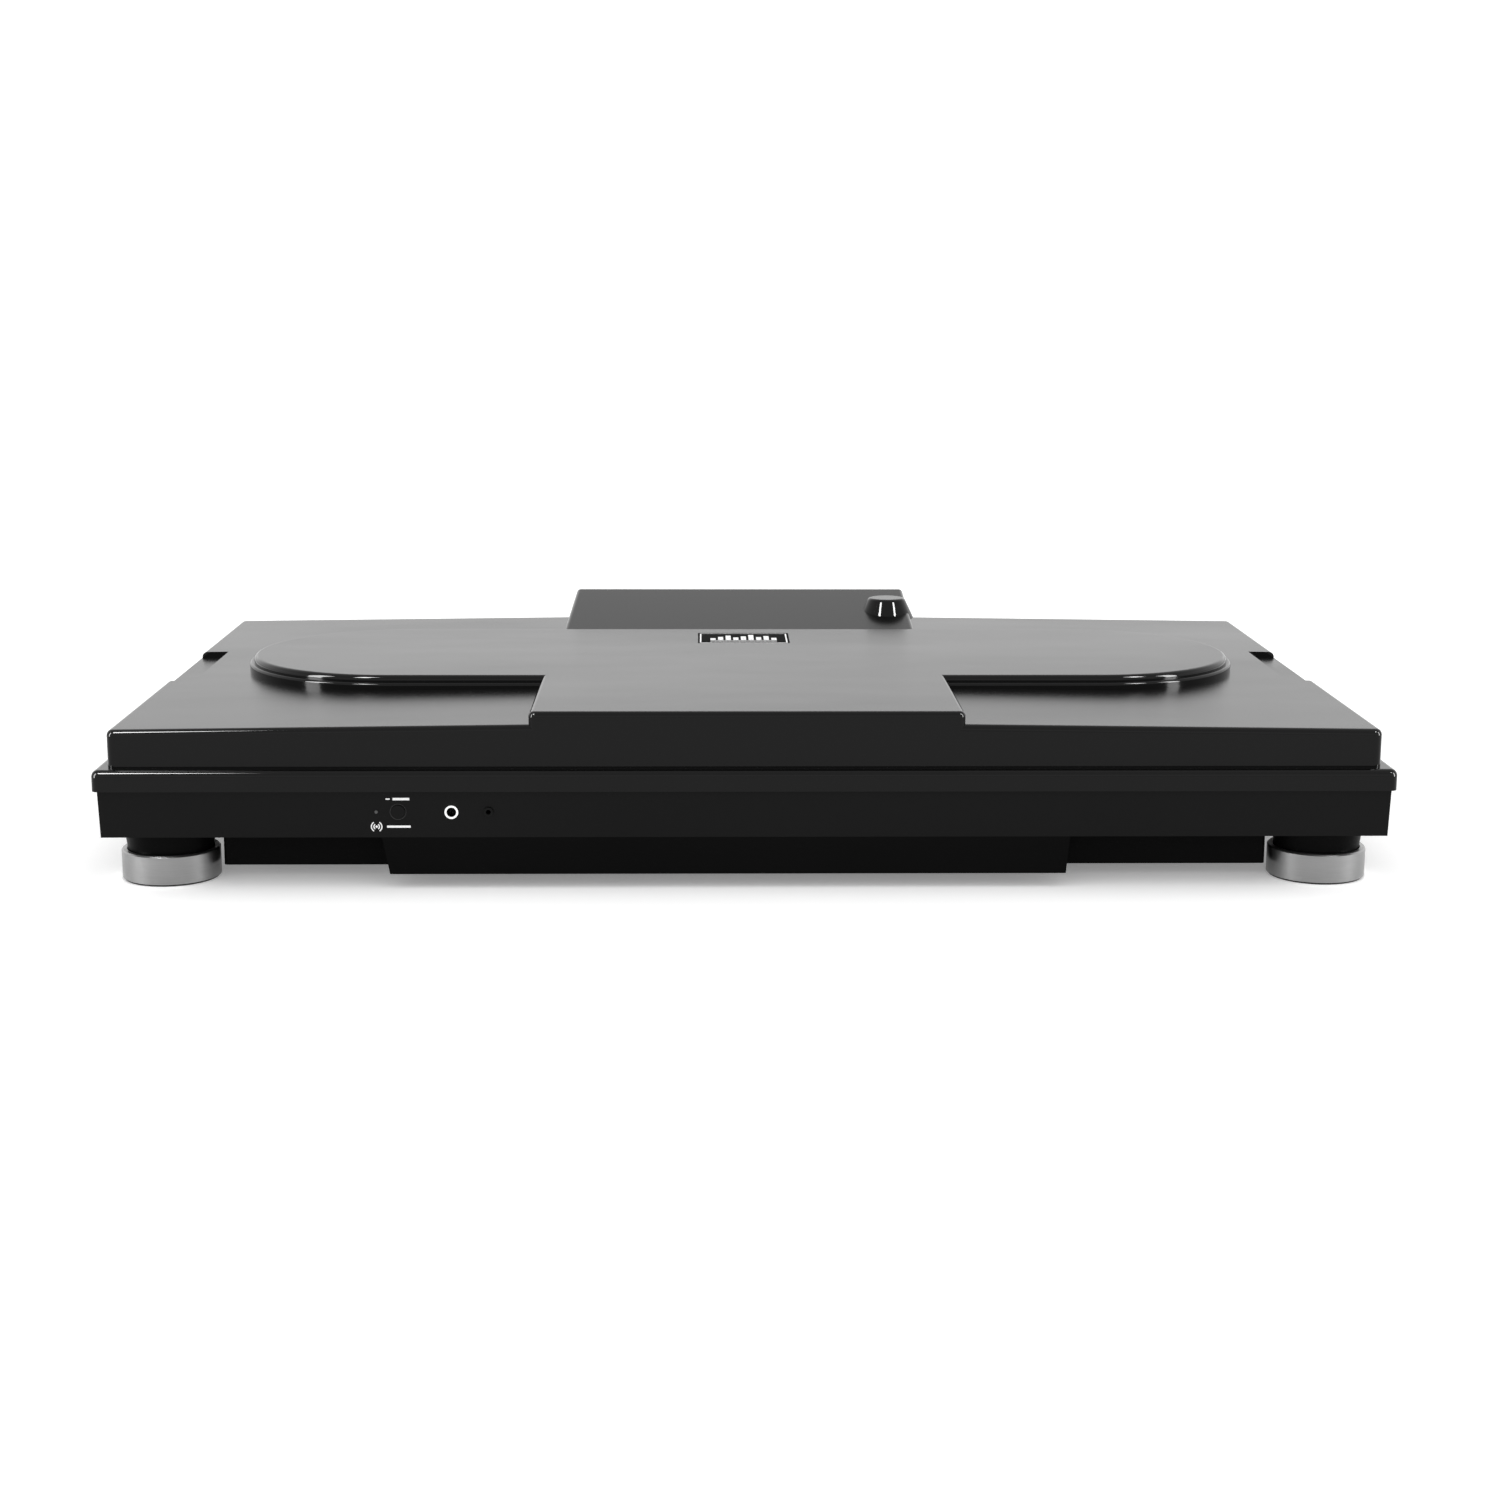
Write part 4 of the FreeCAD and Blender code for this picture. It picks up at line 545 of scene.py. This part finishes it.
# %% Fader lines, ridges and scales
def fader_parts(name):
    """The line and ridges on one cap, and the scale beside its slot."""
    low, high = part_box(name)
    centre = (low + high) / 2
    pivot = (centre.x, centre.y, 0.0)
    lengthwise = (high.x - low.x) < (high.y - low.y)
    turn = math.pi / 2 if lengthwise else 0.0
    top = high.z / MM
    line = brick("line", (-8.5, -0.35, top - 0.4), (8.5, 0.35, top + 0.06))
    copies.make(name + "_line", name, line, print_white, Count=1, Pivot=pivot, Start=turn)
    for side in (-1, 1):
        ridge = brick("ridge", (-8.0, side * 2.6 - 1.6, top - 0.4), (8.0, side * 2.6 - 1.2, top + 0.35))
        ridge_step = (0.0011, 0.0, 0.0) if lengthwise else (0.0, 0.0011, 0.0)
        shift = Vector(ridge_step) * 0.9
        start = (pivot[0] + shift[0], pivot[1] + shift[1], 0.0)
        copies.make(f"{name}_ridges_{'low' if side < 0 else 'high'}", name, ridge, cap_plastic, Count=3,
                    Pivot=start, Step=ridge_step, Start=turn)
    reach = {"channel": 30.0, "left": 50.0, "right": 50.0, "crossf": 22.5}[
        name.split("_")[0] if "_" in name else "crossf"]
    mark = brick("mark", (13.0, -0.2, 0.0), (16.5, 0.2, 0.1))
    step = Vector((0, reach * 2 * MM / 10, 0)) if not lengthwise else Vector((reach * 2 * MM / 10, 0, 0))
    first = Vector(pivot) - step * 5
    copies.make(name + "_scale", "console", mark, print_white, Count=11,
                Pivot=(first.x, first.y, panel_top), Step=tuple(step), Start=turn)


faders = sorted(name for name in nodes if "fader" in name and "tracks" not in name)
for fader in faders:
    fader_parts(fader)
print(len(faders), "faders lined")

# %% [markdown]
# ## Jog wheels with finger dips
#
# The side of each jog wheel has a ring of shallow dips. They could be cut with booleans, one by
# one. A rule on a dense turned mesh is smoother: it moves each point towards the axis by an
# amount that depends on the point's angle and height.

# %% A turned mesh
def turned(name, profile, centre, segments, closed=False):
    """A mesh turned about an upright axis from a profile of radius and height, in millimetres."""
    points, faces = [], []
    rings = len(profile)
    for step in range(segments):
        angle = 2 * math.pi * step / segments
        for radius, height in profile:
            points.append((centre[0] / MM + radius * math.cos(angle),
                           centre[1] / MM + radius * math.sin(angle), height))
        for ring in range(rings if closed else rings - 1):
            here, there = step * rings, (step + 1) % segments * rings
            after = (ring + 1) % rings
            faces.append((here + ring, there + ring, there + after, here + after))
    return solid(name, points, faces)

# %% Rule: dips round a wheel
dips = Rule("dips", Centre="Vector", Count="Float", Depth="Float", Middle="Float", Half="Float")
spot = dips.add("GeometryNodeInputPosition")
from_centre = dips.add("ShaderNodeVectorMath", {"operation": "SUBTRACT"}, {0: spot, 1: dips.want("Centre")})
px, py, pz = dips.parts(from_centre)
around = py.math("ARCTAN2", py, px)
wave = (around * dips.want("Count")).sine()
hollow = (wave * (wave > 0.0)) ** 0.8
rise = 1 - abs(pz - dips.want("Middle")) / dips.want("Half")
level = (rise * (rise > 0.0)) ** 0.6
inward = dips.add("ShaderNodeCombineXYZ", None, {"X": px, "Y": py})
unit = dips.add("ShaderNodeVectorMath", {"operation": "NORMALIZE"}, {0: inward})
push = dips.add("ShaderNodeVectorMath", {"operation": "SCALE"}, {
    0: unit, "Scale": hollow * level * dips.want("Depth") * -1})
edge = (px * px + py * py).root() > 0.0955
dips.end(dips.add("GeometryNodeSetPosition", None, {
    "Geometry": dips.want("Geometry"), "Selection": edge, "Offset": push}))

# %% Two wheels
for side, sign in (("left", -1), ("right", 1)):
    centre = (sign * JOG_X, JOG_Y)
    low, high = (corner.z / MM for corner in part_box(f"{side}_jog_wheel"))
    under = 88.0
    wall = [(103.0, under + 4 + step * (high - 6 - under - 4) / 8) for step in range(9)]
    shoulder = [(102.6, high - 4.2), (101.8, high - 2.4), (100.6, high - 0.9), (99.0, high - 0.1), (97.8, high)]
    profile = [(6.05, low), (14.0, low), (14.0, under), (99.0, under), (101.6, under + 1.4), (102.7, under + 3)]
    profile += wall + shoulder + [(93.6, high), (93.0, high - 0.5), (93.0, high - 3.5), (6.05, high - 3.5)]
    wheel = dips.make(f"{side}_wheel_with_dips", f"{side}_jog", turned("wheel", profile, centre, 432, closed=True),
                      cap_plastic, Centre=(*centre, 0.0), Count=24.0, Depth=0.0022, Middle=0.0985, Half=0.0075)
    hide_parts(f"{side}_jog_wheel")
    print(wheel.name, len(wheel.data.polygons), "faces")

# %% [markdown]
# ## Lit rings and pad lamps
#
# The play and cue buttons have a coloured lens round their edge, and each pad has a small lamp
# behind it. The rings are turned, and the lamps are copies in a row.

# %% Rings and lamps
for name in ("left_cue_button", "left_play_button", "right_cue_button", "right_play_button"):
    low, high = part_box(name)
    centre, top = (low + high) / 2, high.z / MM
    profile = [(15.2, top - 1.0), (15.2, top - 0.15), (15.0, top + 0.02), (13.4, top + 0.02), (13.2, top - 0.2),
               (13.2, top - 1.0)]
    hue = cue_lens if "cue" in name else play_lens
    ring = place_piece(name + "_lens", turned("ring", profile, centre, 96, closed=True), name, hue)

for side, edge_x in (("left", -462.0), ("right", 160.0)):
    for row, y in (("front", -232.0), ("back", -182.0)):
        lamp = brick("lamp", (15.0, 43.2, 0.0), (35.0, 44.6, 0.5))
        copies.make(f"{side}_{row}_pad_lamps", "console", lamp, clear_lens, Count=4,
                    Pivot=((edge_x + 58) * MM, y * MM, panel_top), Step=(0.057, 0.0, 0.0))

# %% [markdown]
# ## The front marks and the badge
#
# The console carries small printed marks by its pairing button, and its badge carries a mark
# too. Here they are plain signs of this lesson's own: a dash, arcs for a wireless link, and a
# row of level bars. Flat strips stand a hair above the surface, which prints cleanly at any
# distance. A picture on a plane would blur.

# %% Strips on the sloping front
def front_y(height):
    """The case's front face at a height in millimetres. The face leans in towards its foot."""
    return -274.25 + 1.3 * (83.2 - height) / 44.2 - 0.06


def strips(name, outlines, body, finish, lift):
    """Flat pieces from outlines of paired points, placed by a function of the flat coordinates."""
    points, faces = [], []
    for outline in outlines:
        start = len(points)
        points += [lift(a, b) for pair in outline for a, b in pair]
        faces += [(start + 2 * i, start + 2 * i + 1, start + 2 * i + 3, start + 2 * i + 2)
                  for i in range(len(outline) - 1)]
    return place_piece(name, solid(name, points, faces), body, finish)


def arc(x, z, radius, width, start, end, steps=14):
    """Pairs of points along an arc, inside and outside its line."""
    pairs = []
    for step in range(steps + 1):
        angle = math.radians(start + (end - start) * step / steps)
        pairs.append([(x + r * math.cos(angle), z + r * math.sin(angle))
                      for r in (radius - width / 2, radius + width / 2)])
    return pairs


def bar(low_x, low_z, high_x, high_z):
    return [[(low_x, low_z), (low_x, high_z)], [(high_x, low_z), (high_x, high_z)]]


front = lambda a, b: (a, front_y(b), b)
marks = [bar(-260.5, 67.0, -257.5, 68.0), bar(-255.5, 66.6, -243.5, 68.4)]
for facing in (0, 180):
    marks += [arc(-267.5, 47.0, radius, 0.8, facing - 58, facing + 58) for radius in (2.0, 3.8)]
marks += [arc(-267.5, 47.0, 0.45, 0.9, 0, 360), bar(-260.0, 46.2, -243.0, 47.8)]
strips("front_marks", marks, "console", print_white, front)
ring_grey = moulded("ring_grey", grey(0.02), grey(0.03), 0.3, 0.3, 2000.0)
strips("button_outline", [arc(-251.8, 58.0, 5.75, 0.35, 0, 360, 60)], "console", ring_grey, front)

# %% Badge
badge_low, badge_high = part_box("cover_badge")
level_z = badge_high.z / MM + 0.03
bx, by = ((badge_low + badge_high) / 2 / MM)[:2]
flat = lambda a, b: (a, b, level_z)
half_x, half_y = 37.2, 25.6
frame_line = [bar(bx - half_x, by - half_y, bx + half_x, by - half_y + 1.6),
              bar(bx - half_x, by + half_y - 1.0, bx + half_x, by + half_y),
              bar(bx - half_x, by - half_y, bx - half_x + 1.2, by + half_y),
              bar(bx + half_x - 1.2, by - half_y, bx + half_x, by + half_y)]
heights = (10, 17, 24, 14, 20, 28, 16, 22, 12)
bars = [bar(bx - 28.2 + 6.5 * i, by - 10, bx - 23.8 + 6.5 * i, by - 10 + h) for i, h in enumerate(heights)]
bars.append(bar(bx - 28.2, by - 17, bx + 28.2, by - 14))
strips("badge_marks", frame_line + bars, "cover", print_white, flat)
print("marks printed")

# %% [markdown]
# ## Vents in the pan and heads of the screws
#
# Warm air leaves through rows of slots in the pan's floor. The slots are seen from below as dark
# bars of shade, so thin strips of painted shade stand for them. Each screw head has a cross, painted
# shade for its recess.

# %% Vents and crosses
# Painted shade: a near-black, matt finish for the hollows of the vent slots and the screw crosses.
vent_black = moulded("vent_black", grey(0.0006), grey(0.001), 0.8, 0.0, 900.0)
pan_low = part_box("base_pan")[0].z
slot_shade_strip = brick("slot", (-30.0, -1.5, -0.08), (30.0, 1.5, 0.2))
for index, x in enumerate((-230.0, 0.0, 230.0)):
    copies.make(f"vents_{index}", "console", slot_shade_strip, vent_black, Count=16, Pivot=(x * MM, 0.06, pan_low),
                Step=(0.0, 0.009, 0.0))

screw_mesh = nodes["case_screws"].data
heads = {}
for vertex in screw_mesh.vertices:
    if vertex.co.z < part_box("case_screws")[0].z + 1e-5:
        heads.setdefault((round(vertex.co.x / 0.02), round(vertex.co.y / 0.02)), []).append(vertex.co.copy())
print("screw groups", len(heads))
crosses = bpy.data.meshes.new("crosses")
crosses.from_pydata([sum(group, Vector()) / len(group) for group in heads.values()], [], [])
# Each cross is a dark strip of painted shade for the recess in a screw head.
scales.make("screw_crosses", "console", crosses, vent_black, Count=2, Radius=0.0, Tick=(0.0036, 0.0007, 0.0001),
            Turn=math.pi / 2, Start=0.0, Height=-0.00004)

# %% [markdown]
# ## Floor, light and camera
#
# The console stands on a pale floor in a white room. A dark, glossy object shows its room, so
# the room is the light. It is a little brighter low down, where the flat tops mirror it. Two
# tall soft boxes give the bars on the bridge's round ends, and two small high ones give those on
# the dome. They light only the cover, the rings and one socket, and leave the matt faces even.

# %% Floor
floor_mesh = bpy.data.meshes.new("floor")
floor_mesh.from_pydata([(-14, -14, 0), (14, -14, 0), (14, 14, 0), (-14, 14, 0)], [], [(0, 1, 2, 3)])
floor = bpy.data.objects.new("floor", floor_mesh)
bpy.context.scene.collection.objects.link(floor)
# A faint glow of its own keeps the floor pale where the console shades it.
pale_floor = Finish("pale_floor", roughness=0.9, specular_ior_level=0.0, emission_color=grey(1.0),
                    emission_strength=0.22)
pale_floor.fix("Base Color", pale_floor.mix(pale_floor.noise(1.5), grey(0.93), grey(0.95)))
floor_mesh.materials.append(pale_floor.material)

# %% Room light
room = bpy.data.worlds.new("room")
room.use_nodes = True
bpy.context.scene.world = room
sky = Graph(room.node_tree)
rise = sky.parts(sky.add("ShaderNodeTexCoord", out="Generated"))[2]
glow = sky.add("ShaderNodeValToRGB", {"stops": [(0.0, 1.0), (0.08, 1.0), (0.13, 1.36), (0.34, 1.36), (0.6, 1.0)]},
               {"Fac": rise})
background = room.node_tree.nodes["Background"]
plug(room.node_tree, background.inputs["Color"], glow)
background.inputs["Strength"].default_value = 1.12

lit = bpy.data.collections.new("seen_by_soft_boxes")
for name in ("dust_cover", "foot_rings", "phones_jack_large"):
    lit.objects.link(nodes[name])


def soft_box(name, place, size, power):
    """A tall panel light that shows only in the reflections of the glossy parts."""
    light = bpy.data.lights.new(name, "AREA")
    light.shape = "RECTANGLE"
    light.size, light.size_y = size
    light.energy = power
    panel = bpy.data.objects.new(name, light)
    panel.location = place
    panel.rotation_euler = (Vector((0, 0, 0.3)) - Vector(place)).to_track_quat("-Z", "Y").to_euler()
    panel.visible_diffuse = False
    panel.light_linking.receiver_collection = lit
    bpy.context.scene.collection.objects.link(panel)
    print(name, "at", place)


soft_box("right_box", (2.445, -0.964, 0.9), (0.45, 1.6), 100)
soft_box("left_box", (-2.02, -0.896, 0.9), (0.45, 1.6), 100)
soft_box("high_left_box", (-0.913, -1.03, 1.6), (0.3, 0.5), 45)
soft_box("high_right_box", (1.268, -0.954, 1.6), (0.3, 0.5), 45)

# %% Camera
lens_data = bpy.data.cameras.new("camera")
lens_data.lens = 59.126
lens_data.sensor_width = 36
camera = bpy.data.objects.new("camera", lens_data)
turn = (Matrix.Rotation(math.radians(-1.083), 4, "Z") @ Matrix.Rotation(math.radians(78.506), 4, "X")
        @ Matrix.Rotation(math.radians(0.171), 4, "Z"))
camera.matrix_world = Matrix.Translation((-0.031, -2.0092, 0.4563)) @ turn
bpy.context.scene.collection.objects.link(camera)
bpy.context.scene.camera = camera
bpy.context.scene.view_settings.view_transform = "Standard"
print("camera at", [round(v, 3) for v in camera.location])
